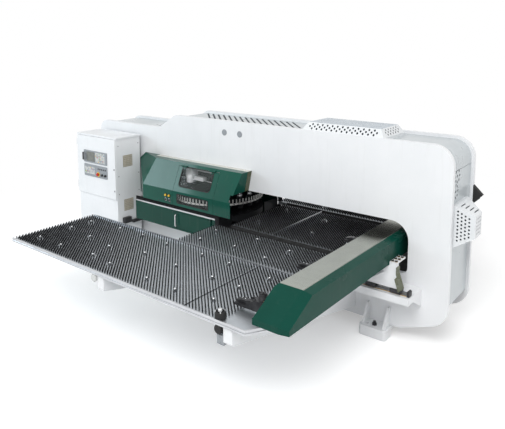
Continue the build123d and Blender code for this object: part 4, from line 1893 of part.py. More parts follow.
# Sealed keypads with raised pads
keys_upper_x = screen_x + SCREEN_LENGTH / 2 + KEYS_INSET / 2 + KEYS_UPPER_ACROSS * KEY_PITCH / 2
keys_lower_x = panel_left + KEYS_INSET / 2 + KEYS_LOWER_ACROSS * KEY_PITCH / 2
keys_lower_z = LOWER_PANEL_FOOT_Z + LOWER_PANEL_HEIGHT / 2
with BuildPart() as keypads:
    with BuildSketch(Plane.XZ.offset(-panel_face)):
        with Locations((keys_upper_x, screen_z)):
            Rectangle(KEYS_UPPER_ACROSS * KEY_PITCH, KEYS_UPPER_HIGH * KEY_PITCH)
        with Locations((keys_lower_x, keys_lower_z)):
            Rectangle(KEYS_LOWER_ACROSS * KEY_PITCH, KEYS_LOWER_HIGH * KEY_PITCH)
    extrude(amount=KEY_HEIGHT / 2)
    with BuildSketch(Plane.XZ.offset(-panel_face + KEY_HEIGHT / 2)):
        with Locations((keys_upper_x, screen_z)):
            with GridLocations(KEY_PITCH, KEY_PITCH, KEYS_UPPER_ACROSS, KEYS_UPPER_HIGH):
                Rectangle(KEY_SIZE, KEY_SIZE)
        with Locations((keys_lower_x, keys_lower_z)):
            with GridLocations(KEY_PITCH, KEY_PITCH, KEYS_LOWER_ACROSS, KEYS_LOWER_HIGH):
                Rectangle(KEY_SIZE, KEY_SIZE)
    extrude(amount=KEY_HEIGHT)
keypads.part.label = "keypads"
export_step(keypads.part, "parts/keypads.step")

# Emergency stop: a mushroom head on a stem
with BuildPart() as stop_button:
    with BuildSketch(Plane.XZ.offset(-panel_face + ESTOP_PLATE_HEIGHT)):
        with Locations((estop_x, estop_z)):
            Circle(ESTOP_STEM)
    extrude(amount=ESTOP_HEIGHT)
    with BuildSketch(Plane.XZ.offset(-panel_face + ESTOP_PLATE_HEIGHT + ESTOP_TRAVEL + RUN_GAP)):
        with Locations((estop_x, estop_z)):
            Circle(ESTOP_RADIUS)
    extrude(amount=ESTOP_HEIGHT - ESTOP_TRAVEL)
    fillet(faces().sort_by(Axis.Y)[0].edges(), ESTOP_TRAVEL)
stop_button.part.label = "stop_button"
export_step(stop_button.part, "parts/stop_button.step")

# Override knobs with a skirt and a pointer ridge
for knob_x, end in zip(knob_places, ("feed", "speed")):
    with BuildPart() as knob:
        with BuildSketch(Plane.XZ.offset(-panel_face + RUN_GAP)):
            with Locations((knob_x, knob_z)):
                Circle(KNOB_RADIUS)
        extrude(amount=KNOB_SKIRT)
        with BuildSketch(Plane.XZ.offset(-panel_face + RUN_GAP + KNOB_SKIRT)):
            with Locations((knob_x, knob_z)):
                Circle(KNOB_RADIUS - KNOB_SKIRT)
                Rectangle(KNOB_POINTER, 2 * KNOB_RADIUS - KNOB_SKIRT)
        extrude(amount=KNOB_HEIGHT - KNOB_SKIRT)
    knob.part.label = end + "_knob"
    export_step(knob.part, "parts/" + end + "_knob.step")
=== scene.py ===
import json
import math
import random

import bmesh
import bpy
from mathutils import Euler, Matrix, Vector


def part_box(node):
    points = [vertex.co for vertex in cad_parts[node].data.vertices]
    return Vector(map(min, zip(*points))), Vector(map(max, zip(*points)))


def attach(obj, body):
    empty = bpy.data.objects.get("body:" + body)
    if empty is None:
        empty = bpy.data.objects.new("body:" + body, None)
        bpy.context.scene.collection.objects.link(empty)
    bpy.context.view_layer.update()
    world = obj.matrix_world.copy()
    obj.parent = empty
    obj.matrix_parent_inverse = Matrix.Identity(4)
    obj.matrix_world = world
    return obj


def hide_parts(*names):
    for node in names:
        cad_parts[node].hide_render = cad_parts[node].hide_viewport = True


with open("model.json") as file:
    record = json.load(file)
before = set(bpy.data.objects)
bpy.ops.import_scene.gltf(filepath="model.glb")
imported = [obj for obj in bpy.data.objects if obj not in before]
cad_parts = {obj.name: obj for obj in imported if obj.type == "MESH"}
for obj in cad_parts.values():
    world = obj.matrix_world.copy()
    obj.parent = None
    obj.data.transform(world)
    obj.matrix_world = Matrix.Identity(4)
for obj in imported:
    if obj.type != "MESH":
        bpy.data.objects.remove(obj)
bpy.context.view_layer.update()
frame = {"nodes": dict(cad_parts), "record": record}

NODES = frame["nodes"]
PARTS = frame["record"]["subparts"]
SCENE = bpy.context.scene
FULL_TURN, QUARTER = 2 * math.pi, math.pi / 2
OUT, BACK = (QUARTER, 0, 0), (-QUARTER, 0, 0)
RIGHT, LEFT = (0, QUARTER, 0), (0, -QUARTER, 0)
SIDES = (("front", -1), ("rear", 1))

# Effects that the finishes share, each a group of nodes with named sockets
SURFACE = ("Color", "Roughness", "Height")


def feed(tree, value, socket):
    if isinstance(value, (int, float)):
        socket.default_value = value
    elif isinstance(value, tuple):
        socket.default_value = (*value, 1.0)
    else:
        tree.links.new(value, socket)


def effect_group(name, inputs, outputs):
    group = bpy.data.node_groups.new(name, "ShaderNodeTree")
    for label, value in inputs.items():
        kind = "NodeSocketColor" if isinstance(value, tuple) else "NodeSocketFloat"
        feed(group, value, group.interface.new_socket(label, in_out="INPUT", socket_type=kind))
    for label in outputs:
        kind = "NodeSocketColor" if label == "Color" else "NodeSocketFloat"
        group.interface.new_socket(label, in_out="OUTPUT", socket_type=kind)
    given, put = group.nodes.new("NodeGroupInput"), group.nodes.new("NodeGroupOutput")
    return group, given.outputs, put.inputs


def put_out(group, put, *values):
    for socket, value in zip(put, values):
        feed(group, value, socket)


def part_coords(group, stretch=(1, 1, 1)):
    coords = group.nodes.new("ShaderNodeTexCoord")
    mapping = group.nodes.new("ShaderNodeMapping")
    mapping.inputs["Scale"].default_value = stretch
    group.links.new(coords.outputs["Object"], mapping.inputs["Vector"])
    return mapping.outputs["Vector"]


def noise(group, vector, scale, detail=4.0, rough=0.6):
    node = group.nodes.new("ShaderNodeTexNoise")
    labels = ("Vector", "Scale", "Detail", "Roughness")
    for label, value in zip(labels, (vector, scale, detail, rough)):
        feed(group, value, node.inputs[label])
    return node.outputs["Fac"]


def spread(group, value, low, high, to_low=0.0, to_high=1.0):
    node = group.nodes.new("ShaderNodeMapRange")
    labels = ("Value", "From Min", "From Max", "To Min", "To Max")
    for label, given in zip(labels, (value, low, high, to_low, to_high)):
        feed(group, given, node.inputs[label])
    return node.outputs["Result"]


def sums(group, kind, first, second):
    node = group.nodes.new("ShaderNodeMath")
    node.operation = kind
    feed(group, first, node.inputs[0])
    feed(group, second, node.inputs[1])
    return node.outputs["Value"]


def tint(group, mask, first, second):
    node = group.nodes.new("ShaderNodeMix")
    node.data_type = "RGBA"
    colours = {socket.name: socket for socket in node.inputs if socket.type == "RGBA"}
    feed(group, first, colours["A"])
    feed(group, second, colours["B"])
    feed(group, mask, next(s for s in node.inputs if s.name == "Factor" and s.type == "VALUE"))
    return next(socket for socket in node.outputs if socket.type == "RGBA")


def make_enamel_film():
    group, given, put = effect_group(
        "Enamel film",
        {
            "Color": (0.8, 0.8, 0.8),
            "Shade": (0.7, 0.7, 0.7),
            "Grime": (0.35, 0.33, 0.28),
            "Gloss low": 0.22,
            "Gloss high": 0.38,
            "Dust": 0.2,
        },
        SURFACE,
    )
    place = part_coords(group)
    clouds = noise(group, place, 1.7, rough=0.55)
    streaks = noise(group, part_coords(group, stretch=(9, 9, 0.8)), 2.2, detail=5.0)
    peel = noise(group, place, 420.0, detail=2.0, rough=0.5)
    specks = noise(group, place, 90.0, detail=3.0, rough=0.7)
    base = tint(group, spread(group, clouds, 0.35, 0.7), given["Color"], given["Shade"])
    spots, runs = spread(group, specks, 0.66, 0.74), spread(group, streaks, 0.55, 0.8)
    dirt = sums(group, "MULTIPLY", sums(group, "MAXIMUM", spots, runs), given["Dust"])
    gloss = spread(group, clouds, 0.3, 0.7, given["Gloss low"], given["Gloss high"])
    rough = sums(group, "ADD", gloss, sums(group, "MULTIPLY", dirt, 0.5))
    put_out(group, put, tint(group, dirt, base, given["Grime"]), rough, peel)
    return group


def make_ground_metal():
    group, given, put = effect_group(
        "Ground metal",
        {
            "Color": (0.6, 0.6, 0.6),
            "Shade": (0.4, 0.4, 0.4),
            "Polish low": 0.22,
            "Polish high": 0.45,
        },
        SURFACE,
    )
    lines = noise(group, part_coords(group, stretch=(3, 260, 260)), 1.0, rough=0.65)
    patches = noise(group, part_coords(group), 6.0)
    parts = sums(group, "MULTIPLY", lines, 0.6), sums(group, "MULTIPLY", patches, 0.4)
    mixed = sums(group, "ADD", *parts)
    worn = spread(group, mixed, 0.35, 0.65)
    rough = spread(group, mixed, 0.35, 0.65, given["Polish high"], given["Polish low"])
    put_out(group, put, tint(group, worn, given["Shade"], given["Color"]), rough, lines)
    return group


def make_moulded_grain():
    group, given, put = effect_group(
        "Moulded grain",
        {
            "Color": (0.05, 0.05, 0.05),
            "Shade": (0.03, 0.03, 0.03),
            "Sheen low": 0.4,
            "Sheen high": 0.6,
            "Grain size": 700.0,
        },
        SURFACE,
    )
    place = part_coords(group)
    pebble = group.nodes.new("ShaderNodeTexVoronoi")
    feed(group, place, pebble.inputs["Vector"])
    feed(group, given["Grain size"], pebble.inputs["Scale"])
    wear = noise(group, place, 14.0)
    colour = tint(group, spread(group, wear, 0.35, 0.7), given["Color"], given["Shade"])
    rough = spread(group, wear, 0.3, 0.7, given["Sheen low"], given["Sheen high"])
    put_out(group, put, colour, rough, pebble.outputs["Distance"])
    return group


def make_facing():
    group, given, put = effect_group("Facing", {"Level": 0.0}, ("Up", "Right", "Inward"))
    coords = group.nodes.new("ShaderNodeTexCoord")
    look, place = (group.nodes.new("ShaderNodeSeparateXYZ") for _ in range(2))
    feed(group, coords.outputs["Normal"], look.inputs["Vector"])
    feed(group, coords.outputs["Object"], place.inputs["Vector"])
    above = sums(group, "GREATER_THAN", place.outputs["Z"], given["Level"])
    # Inward marks faces turned towards the machine's midplane; the hood uses it for painted shade
    across = sums(group, "MULTIPLY", look.outputs["Y"], place.outputs["Y"])
    up = sums(group, "MULTIPLY", spread(group, look.outputs["Z"], 0.96, 0.98), above)
    # Right marks faces turned to +X; the base uses it for painted shade
    right = spread(group, look.outputs["X"], 0.6, 0.7)
    put_out(group, put, up, right, spread(group, across, -0.08, -0.1))
    return group


ENAMEL = make_enamel_film()
GROUND = make_ground_metal()
GRAIN = make_moulded_grain()
FACING = make_facing()
COAT_ROUGHNESS = 0.08
PANE_ALPHA = 0.035
PEEL_BUMP, LINE_BUMP, GRAIN_DEPTH = (0.06, 0.0004), (0.05, 0.0003), 0.0004


def finish_of(name, group, values, bump, depth, metallic=0.0, coat=0.0, specular=0.5):
    material = bpy.data.materials.new(name)
    material.use_nodes = True
    tree = material.node_tree
    shader = tree.nodes["Principled BSDF"].inputs
    effect, lift = tree.nodes.new("ShaderNodeGroup"), tree.nodes.new("ShaderNodeBump")
    effect.node_tree = group
    for label, value in values.items():
        feed(tree, value, effect.inputs[label])
    lift.inputs["Strength"].default_value = bump
    lift.inputs["Distance"].default_value = depth
    feed(tree, effect.outputs["Height"], lift.inputs["Height"])
    feed(tree, effect.outputs["Color"], shader["Base Color"])
    feed(tree, effect.outputs["Roughness"], shader["Roughness"])
    feed(tree, lift.outputs["Normal"], shader["Normal"])
    shader["Metallic"].default_value = metallic
    shader["Coat Weight"].default_value = coat
    shader["Coat Roughness"].default_value = COAT_ROUGHNESS
    shader["Specular IOR Level"].default_value = specular
    return material


def enamel(name, colour, shade, dust=0.15, low=0.22, high=0.36, coat=0.25, specular=0.5):
    values = {"Color": colour, "Shade": shade, "Gloss low": low, "Gloss high": high, "Dust": dust}
    return finish_of(name, ENAMEL, values, *PEEL_BUMP, coat=coat, specular=specular)


def metal(name, colour, shade, low=0.22, high=0.42):
    values = {"Color": colour, "Shade": shade, "Polish low": low, "Polish high": high}
    return finish_of(name, GROUND, values, *LINE_BUMP, metallic=1.0)


def moulded(
    name, colour, shade, low=0.35, high=0.5, grain=700.0, bump=0.08, coat=0.0, specular=0.3
):
    values = {"Color": colour, "Shade": shade, "Sheen low": low, "Sheen high": high}
    values["Grain size"] = grain
    return finish_of(name, GRAIN, values, bump, GRAIN_DEPTH, coat=coat, specular=specular)


def clear_pane(name):
    shine = {"low": 0.03, "high": 0.08, "grain": 40.0, "bump": 0.0, "specular": 0.5}
    material = moulded(name, (0.62, 0.7, 0.68), (0.55, 0.64, 0.62), **shine)
    material.node_tree.nodes["Principled BSDF"].inputs["Alpha"].default_value = PANE_ALPHA
    return material


HOOD_GLOSS = {"dust": 0.03, "low": 0.16, "high": 0.26, "specular": 0.08}
BEAM_GLOSS = {"dust": 0.02, "low": 0.2, "high": 0.3, "specular": 0.08}
CAP_GLOSS = {"low": 0.2, "high": 0.35, "coat": 0.4}
MATT = {"low": 0.6, "high": 0.8}
FINISH = {
    "white_paint": enamel(
        "White enamel", (0.79, 0.8, 0.815), (0.74, 0.755, 0.77), 0.08, 0.3, 0.45, coat=0.1
    ),
    "green_paint": enamel(
        "Green enamel", (0.006, 0.08, 0.056), (0.005, 0.066, 0.046), coat=0.22, **HOOD_GLOSS
    ),
    # Beam green: darker copy of the green enamel, partly the beam's own tone, partly painted shade
    "beam_green_with_shade": enamel(
        "Beam enamel with painted shade", (0.003, 0.054, 0.038), (0.003, 0.044, 0.031), coat=0.05, **BEAM_GLOSS
    ),
    # Base green: darker copy of the green enamel, partly the base's own tone, partly painted shade
    "base_green_with_shade": enamel(
        "Base enamel with painted shade", (0.004, 0.052, 0.036), (0.003, 0.043, 0.03), coat=0.15, **HOOD_GLOSS
    ),
    # Beam top: pale khaki metal, partly a bare top sheet, partly painted reflection of the bright
    # sky
    "beam_top_reflection": metal("Beam top painted reflection", (0.42, 0.43, 0.38), (0.36, 0.37, 0.33), 0.16, 0.26),
    "guard_top": enamel("Guard top enamel", (0.34, 0.41, 0.47), (0.28, 0.34, 0.4), dust=0.06),
    "cover_paint": enamel("Cover enamel", (0.5, 0.54, 0.56), (0.44, 0.48, 0.5), dust=0.1),
    "guard_paint": enamel("Guard enamel", (0.74, 0.76, 0.77), (0.68, 0.7, 0.72), dust=0.08),
    "olive_paint": enamel(
        "Olive enamel", (0.085, 0.095, 0.045), (0.07, 0.08, 0.04), dust=0.1, coat=0.1
    ),
    "table_metal": metal("Table sheet", (0.58, 0.61, 0.64), (0.48, 0.51, 0.54), 0.34, 0.55),
    "brush": moulded(
        "Nylon bristle", (0.012, 0.012, 0.013), (0.03, 0.03, 0.032), 0.55, 0.8, specular=0.1
    ),
    "rail_steel": metal("Ground steel", (0.34, 0.35, 0.36), (0.2, 0.21, 0.22)),
    "bright_steel": metal("Bright steel", (0.74, 0.75, 0.76), (0.58, 0.59, 0.6), 0.15, 0.3),
    "bright_aluminium": metal(
        "Drawn aluminium", (0.62, 0.63, 0.65), (0.52, 0.53, 0.55), 0.3, 0.45
    ),
    "black_steel": moulded(
        "Blackened steel", (0.018, 0.018, 0.02), (0.045, 0.045, 0.048), 0.28, 0.5, grain=1100.0
    ),
    "black_rubber": moulded("Black rubber", (0.015, 0.015, 0.015), (0.03, 0.03, 0.03), **MATT),
    "black_plastic": moulded("Black plastic", (0.022, 0.022, 0.024), (0.035, 0.035, 0.037)),
    "panel_grey": moulded("Grey panel", (0.3, 0.32, 0.34), (0.26, 0.28, 0.3), 0.35, 0.55),
    "yellow_plastic": moulded("Yellow cap", (0.8, 0.52, 0.02), (0.7, 0.44, 0.02), **CAP_GLOSS),
    "red_plastic": moulded("Red cap", (0.55, 0.012, 0.01), (0.46, 0.01, 0.008), **CAP_GLOSS),
    "screen_glass": moulded(
        "Screen", (0.13, 0.14, 0.135), (0.22, 0.225, 0.2), 0.08, 0.14, bump=0.0
    ),
    "window_glass": clear_pane("Window pane"),
    "rim_steel": metal("Rim steel", (0.88, 0.87, 0.84), (0.74, 0.73, 0.7), 0.45, 0.65),
    "brass": metal("Brass", (0.72, 0.5, 0.2), (0.58, 0.38, 0.14), 0.2, 0.36),
    "key_white": moulded("Pale key", (0.6, 0.61, 0.6), (0.52, 0.53, 0.52)),
    "key_blue": moulded("Blue key", (0.08, 0.2, 0.42), (0.07, 0.17, 0.36)),
    "key_green": moulded("Green key", (0.04, 0.3, 0.1), (0.03, 0.25, 0.08)),
    "vent_felt": moulded(
        "Vent felt", (0.52, 0.47, 0.36), (0.42, 0.38, 0.3), 0.7, 0.9, grain=260.0
    ),
    # Near-black painted shade: throat lining, turrets, hood inside, base's right end, sheet at the
    # hood's back
    "painted_shade_black": moulded(
        "Painted shade black", (0.008, 0.009, 0.01), (0.016, 0.017, 0.019), 0.5, 0.7, specular=0.15
    ),
    "hood_cream": enamel("Cream enamel", (0.6, 0.59, 0.53), (0.54, 0.53, 0.48), dust=0.08),
    # Dark finish for sheets that paint the shade inside the guards and grille slots
    "guard_shade": moulded("Guard painted shade", (0.02, 0.026, 0.032), (0.035, 0.045, 0.055), **MATT),
}


def two_tone(name, main, other, side, level):
    material = FINISH[main].copy()
    material.name = name
    tree = material.node_tree
    shader, own = tree.nodes["Principled BSDF"].inputs, tree.nodes["Group"].outputs
    model = FINISH[other].node_tree.nodes["Group"]
    second, facing = tree.nodes.new("ShaderNodeGroup"), tree.nodes.new("ShaderNodeGroup")
    second.node_tree, facing.node_tree = model.node_tree, FACING
    for socket in second.inputs:
        socket.default_value = model.inputs[socket.name].default_value
    facing.inputs["Level"].default_value = level
    mask = facing.outputs[side]
    colour = tint(tree, mask, own["Color"], second.outputs["Color"])
    rough = spread(tree, mask, 0.0, 1.0, own["Roughness"], second.outputs["Roughness"])
    feed(tree, colour, shader["Base Color"])
    feed(tree, rough, shader["Roughness"])
    if model.node_tree == GROUND:
        feed(tree, mask, shader["Metallic"])
    return material


TOP_SKIN = 0.002
for skin, main, other, side, level in (
    # Beam: upward faces take the pale metal, a painted reflection on the top
    ("beam", "beam_green_with_shade", "beam_top_reflection", "Up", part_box("beam_cover")[1].z - TOP_SKIN),
    ("guard", "guard_paint", "guard_top", "Up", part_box("top_guard")[1].z - TOP_SKIN),
    # Base: faces turned to +X are painted shade, near-black
    ("base", "base_green_with_shade", "painted_shade_black", "Right", 0.0),
    # Hood: faces turned inward are painted shade, near-black
    ("hood", "green_paint", "painted_shade_black", "Inward", 0.0),
):
    FINISH[skin + "_skin"] = two_tone(skin.capitalize() + " skin", main, other, side, level)

# Nodes whose finish differs from their slot's; the throat lining and both turrets get the
# near-black painted shade
INSTEAD = {
    "throat_lining": "painted_shade_black",
    "upper_turret": "painted_shade_black",
    "lower_turret": "painted_shade_black",
    "keypads": "key_white",
    "beam_cover": "beam_skin",
    "top_guard": "guard_skin",
    "base_shell": "base_skin",
    "base_door": "base_green_with_shade",
    "hood_shell": "hood_skin",
    "hood_door": "hood_skin",
    "hole_plugs": "panel_grey",
    "front_left_roller": "key_white",
    "rear_left_roller": "key_white",
}
for part in PARTS:
    shown = NODES[part["node"]]
    dress = FINISH[INSTEAD.get(part["node"], part["material_slot"])]
    if not shown.material_slots:
        shown.data.materials.append(dress)
    for place in shown.material_slots:
        place.material = dress

# Small shapes, each a list of points and a list of faces
SHARP_ANGLE = math.radians(35)
FINE_EDGE = 0.0004
BLOCK_FACES = [(0, 1, 2, 3), (7, 6, 5, 4), (0, 4, 5, 1), (1, 5, 6, 2), (2, 6, 7, 3), (3, 7, 4, 0)]


def on_circle(radius, step, count, centre=(0, 0)):
    angle = FULL_TURN * step / count
    return centre[0] + radius * math.cos(angle), centre[1] + radius * math.sin(angle)


def tube_faces(rings, sides):
    faces = []
    for here in range(0, (rings - 1) * sides, sides):
        for step in range(sides):
            after = (step + 1) % sides
            faces.append((here + step, here + after, here + sides + after, here + sides + step))
    return faces


def capped_faces(rings, sides):
    foot, head = range(sides), range((rings - 1) * sides, rings * sides)
    return [*tube_faces(rings, sides), tuple(foot)[::-1], tuple(head)]


def turned(profile, sides=16):
    steps = range(sides)
    points = [(*on_circle(radius, step, sides), z) for radius, z in profile for step in steps]
    return points, capped_faces(len(profile), sides)


def shape_of(work):
    work.verts.index_update()
    shape = [tuple(v.co) for v in work.verts], [tuple(v.index for v in f.verts) for f in work.faces]
    work.free()
    return shape


def planed(size, edge=0.001):
    work = bmesh.new()
    bmesh.ops.create_cube(work, size=1.0)
    bmesh.ops.scale(work, vec=size, verts=work.verts)
    bmesh.ops.bevel(work, geom=work.edges, offset=edge, segments=2, profile=0.7, affect="EDGES")
    return shape_of(work)


def rounded_loop(half_w, half_h, radius, steps=8):
    loop = []
    for quarter, (sx, sy) in enumerate(((1, 1), (-1, 1), (-1, -1), (1, -1))):
        corner = sx * (half_w - radius), sy * (half_h - radius)
        for step in range(steps + 1):
            loop.append(on_circle(radius, quarter + step / steps, 4, corner))
    return loop


def band(outer, inner, height):
    count = len(outer)
    edges = (outer, 0), (outer, height), (inner, height), (inner, 0)
    points = [(x, y, z) for loop, z in edges for x, y in loop]
    faces = []
    for ring in range(4):
        here, there = ring * count, (ring + 1) % 4 * count
        for step in range(count):
            after = (step + 1) % count
            faces.append((here + step, here + after, there + after, there + step))
    return points, faces


def washer(outer, inner, height, sides=28):
    loops = ([on_circle(radius, s, sides) for s in range(sides)] for radius in (outer, inner))
    return band(*loops, height)


def cut_sheet(outline, openings, thick):
    curve = bpy.data.curves.new("cut_sheet", "CURVE")
    curve.dimensions, curve.fill_mode, curve.extrude = "2D", "BOTH", thick / 2
    for loop in [outline, *openings]:
        line = curve.splines.new("POLY")
        line.points.add(len(loop) - 1)
        line.use_cyclic_u = True
        for point, (x, y) in zip(line.points, loop):
            point.co = (x, y, 0, 1)
    holder = bpy.data.objects.new("cut_sheet", curve)
    work = bmesh.new()
    work.from_mesh(bpy.data.meshes.new_from_object(holder))
    bmesh.ops.remove_doubles(work, verts=work.verts, dist=0.00001)
    bmesh.ops.recalc_face_normals(work, faces=work.faces)
    bpy.data.objects.remove(holder)
    return shape_of(work)


def frustum(low, high, foot_z, top_z):
    points = [
        (x, y, z)
        for (a, b), z in ((low, foot_z), (high, top_z))
        for x, y in ((a[0], a[1]), (b[0], a[1]), (b[0], b[1]), (a[0], b[1]))
    ]
    walls = (0, 1, 5, 4), (1, 2, 6, 5), (2, 3, 7, 6), (3, 0, 4, 7)
    return points, [(3, 2, 1, 0), (4, 5, 6, 7), *walls]


def hose(path, radius, sides=10, steps=8):
    path = [Vector(p) for p in path]
    line = []
    for index in range(len(path) - 1):
        before, start = path[max(index - 1, 0)], path[index]
        end, after = path[index + 1], path[min(index + 2, len(path) - 1)]
        bend = 2 * before - 5 * start + 4 * end - after
        swing = 3 * start - before - 3 * end + after
        for step in range(steps):
            t = step / steps
            line.append(0.5 * (2 * start + (end - before) * t + bend * t * t + swing * t * t * t))
    line.append(path[-1])
    points = []
    side = (line[1] - line[0]).orthogonal().normalized()
    for index, spot in enumerate(line):
        along = (line[min(index + 1, len(line) - 1)] - line[max(index - 1, 0)]).normalized()
        side = (side - along * side.dot(along)).normalized()
        other = along.cross(side)
        for step in range(sides):
            x, y = on_circle(1.0, step, sides)
            points.append(tuple(spot + radius * (x * side + y * other)))
    return points, capped_faces(len(line), sides)


def cap_screw(radius, height):
    key = radius * 0.55
    rim = [(radius, 0), (radius, height * 0.85), (radius * 0.9, height)]
    return turned([*rim, (key, height), (key * 0.95, height * 0.45)], 12)


def dome_screw(radius, height):
    crown = (radius * 0.8, height * 0.75), (radius * 0.4, height)
    return turned([(radius, 0), (radius, height * 0.3), *crown], 12)


class Gather:
    """One piece made of many placed shapes."""

    def __init__(self):
        self.points = []
        self.faces = []

    def put(self, shape, at=(0, 0, 0), turn=(0, 0, 0)):
        spin = Euler(turn).to_matrix()
        start = len(self.points)
        self.points += [tuple(spin @ Vector(p) + Vector(at)) for p in shape[0]]
        self.faces += [tuple(i + start for i in face) for face in shape[1]]
        return self

    def piece(self, name, body, finish, smooth=True, stands_for=()):
        mesh = bpy.data.meshes.new(name)
        mesh.from_pydata(self.points, [], self.faces)
        mesh.materials.append(FINISH[finish])
        if smooth:
            mesh.shade_smooth()
            mesh.set_sharp_from_angle(angle=SHARP_ANGLE)
        thing = bpy.data.objects.new(name, mesh)
        SCENE.collection.objects.link(thing)
        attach(thing, body)
        if stands_for:
            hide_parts(*stands_for)


# Brush tufts in the places of the CAD ridges, and ball units among them
PLATE_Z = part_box("side_tables")[1].z
TUFT_PITCH, TUFT_ROW = 0.0376, 0.0188
TUFT_SIDES, TUFT_KINDS, TUFT_TIP = 6, 6, 0.0236
TUFT_RINGS = ((0.0045, 0.0), (0.0051, 0.012), (0.0061, 0.0222))
TUFT_TWIST, TUFT_WOBBLE, TUFT_RAGGED, TUFT_SPIN = 0.2, 0.1, 0.0015, 6.28
EDGE_CLEAR, SEAM_CLEAR, BALL_CLEAR = 0.008, 0.014, 0.034
BALL_SCATTER, BALL_RADIUS, BALL_UP = 0.18, 0.0105, 0.0255
CUP_PROFILE = [(0.021, 0), (0.021, 0.003), (0.017, 0.004), (0.015, 0.026), (0.0115, 0.029)]
WING_SEAM_X, THROAT_SEAM_X = 1.029, 0.602


def tuft_shape(seed):
    dice = random.Random(seed)
    points = []
    top = len(TUFT_RINGS) - 1
    for level, (radius, height) in enumerate(TUFT_RINGS):
        for step in range(TUFT_SIDES):
            angle = FULL_TURN * step / TUFT_SIDES + TUFT_TWIST * level
            wide = radius * (1 + dice.uniform(-TUFT_WOBBLE, TUFT_WOBBLE) * (level > 0))
            rise = height + (dice.uniform(-TUFT_RAGGED, TUFT_RAGGED) if level == top else 0)
            points.append((wide * math.cos(angle), wide * math.sin(angle), rise))
    crown, tip = top * TUFT_SIDES, len(points)
    points.append((0, 0, TUFT_TIP))
    faces = tube_faces(len(TUFT_RINGS), TUFT_SIDES)
    for step in range(TUFT_SIDES):
        faces.append((crown + step, crown + (step + 1) % TUFT_SIDES, tip))
    return points, faces


TUFTS = [tuft_shape(seed) for seed in range(TUFT_KINDS)]


def tuft_field(name, body, low, high, node, bare, seam):
    dice = random.Random(name)
    field = Gather()
    rows = int((high[1] - low[1]) / TUFT_ROW)
    across = int((high[0] - low[0]) / TUFT_PITCH)
    edge_y = (high[1] - low[1] - (rows - 1) * TUFT_ROW) / 2
    edge_x = (high[0] - low[0] - (across - 0.5) * TUFT_PITCH) / 2
    for row in range(rows):
        for column in range(across):
            x = low[0] + edge_x + (column + 0.5 * (row % 2)) * TUFT_PITCH
            y = low[1] + edge_y + row * TUFT_ROW
            if x > high[0] - EDGE_CLEAR or (seam and abs(x - seam) < SEAM_CLEAR):
                continue
            if any((x - bx) ** 2 + (y - by) ** 2 < BALL_CLEAR**2 for bx, by in bare):
                continue
            field.put(dice.choice(TUFTS), (x, y, low[2]), (0, 0, dice.uniform(0, TUFT_SPIN)))
    field.piece(name, body, "brush", stands_for=[node])


def ball_places(low, high, across, deep, seed):
    dice = random.Random(seed)
    spots = []
    for i in range(across):
        for j in range(deep):
            column = i + 0.5 + dice.uniform(-BALL_SCATTER, BALL_SCATTER)
            row = j + 0.5 + dice.uniform(-BALL_SCATTER, BALL_SCATTER)
            x = low[0] + column * (high[0] - low[0]) / across
            y = low[1] + row * (high[1] - low[1]) / deep
            spots.append((x, y))
    return spots


def ball_units(name, body, spots):
    cups, balls = Gather(), Gather()
    cup = turned(CUP_PROFILE, 14)
    rise = (0.0, 0.35, 0.7, 1.05, 1.35)
    ball = turned([(BALL_RADIUS * math.cos(a), BALL_RADIUS * math.sin(a)) for a in rise], 14)
    for x, y in spots:
        cups.put(cup, (x, y, PLATE_Z))
        balls.put(ball, (x, y, PLATE_Z + BALL_UP))
    cups.piece(name + "_cups", body, "rail_steel")
    balls.piece(name + "_balls", body, "bright_steel")


def brush_table(name, body, node, box, grid, seed, seam=None):
    balls = ball_places(*box, *grid, seed)
    tuft_field(name + "_tufts", body, *box, node, balls, seam)
    ball_units(name, body, balls)


def halves(node):
    low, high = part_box(node)
    near = max(v.co.y for v in NODES[node].data.vertices if v.co.y < 0)
    return (low, Vector((high.x, near, high.z))), (Vector((low.x, -near, low.z)), high)


for (where, _), box in zip(SIDES, halves("wing_brushes")):
    brush_table(where + "_wing", "beam", "wing_brushes", box, (7, 3), where, WING_SEAM_X)
for (where, _), box in zip(SIDES, halves("side_table_brushes")):
    brush_table(where + "_side", "frame", "side_table_brushes", box, (4, 2), where + "side")
throat_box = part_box("throat_table_brushes")
brush_table("throat", "frame", "throat_table_brushes", throat_box, (3, 2), "throat", THROAT_SEAM_X)

# Joint strips where the table plates meet
WING_NEAR, WING_FAR = 1.33, 2.398
WING_STRIP, THROAT_STRIP, EDGE_STRIP = (0.004, 0.01), (0.01, 0.024), (0.004, 0.021)
for where, side in SIDES:
    Gather().put(
        planed((WING_STRIP[0], WING_FAR - WING_NEAR, WING_STRIP[1])),
        (WING_SEAM_X, side * (WING_NEAR + WING_FAR) / 2, PLATE_Z + 0.004),
    ).piece("wing_joint_" + where, "beam", "rail_steel")
low, high = throat_box
Gather().put(
    planed((THROAT_STRIP[0], high.y - low.y, THROAT_STRIP[1])), (THROAT_SEAM_X, 0, PLATE_Z + 0.011)
).piece("throat_joint", "frame", "bright_aluminium")
low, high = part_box("wing_brushes")
edges = Gather()
for _, side in SIDES:
    edge_at = ((low.x + high.x) / 2, side * (WING_NEAR + 0.001), PLATE_Z + 0.01)
    edges.put(planed((high.x - low.x, *EDGE_STRIP)), edge_at)
edges.piece("wing_inner_edges", "beam", "bright_aluminium")

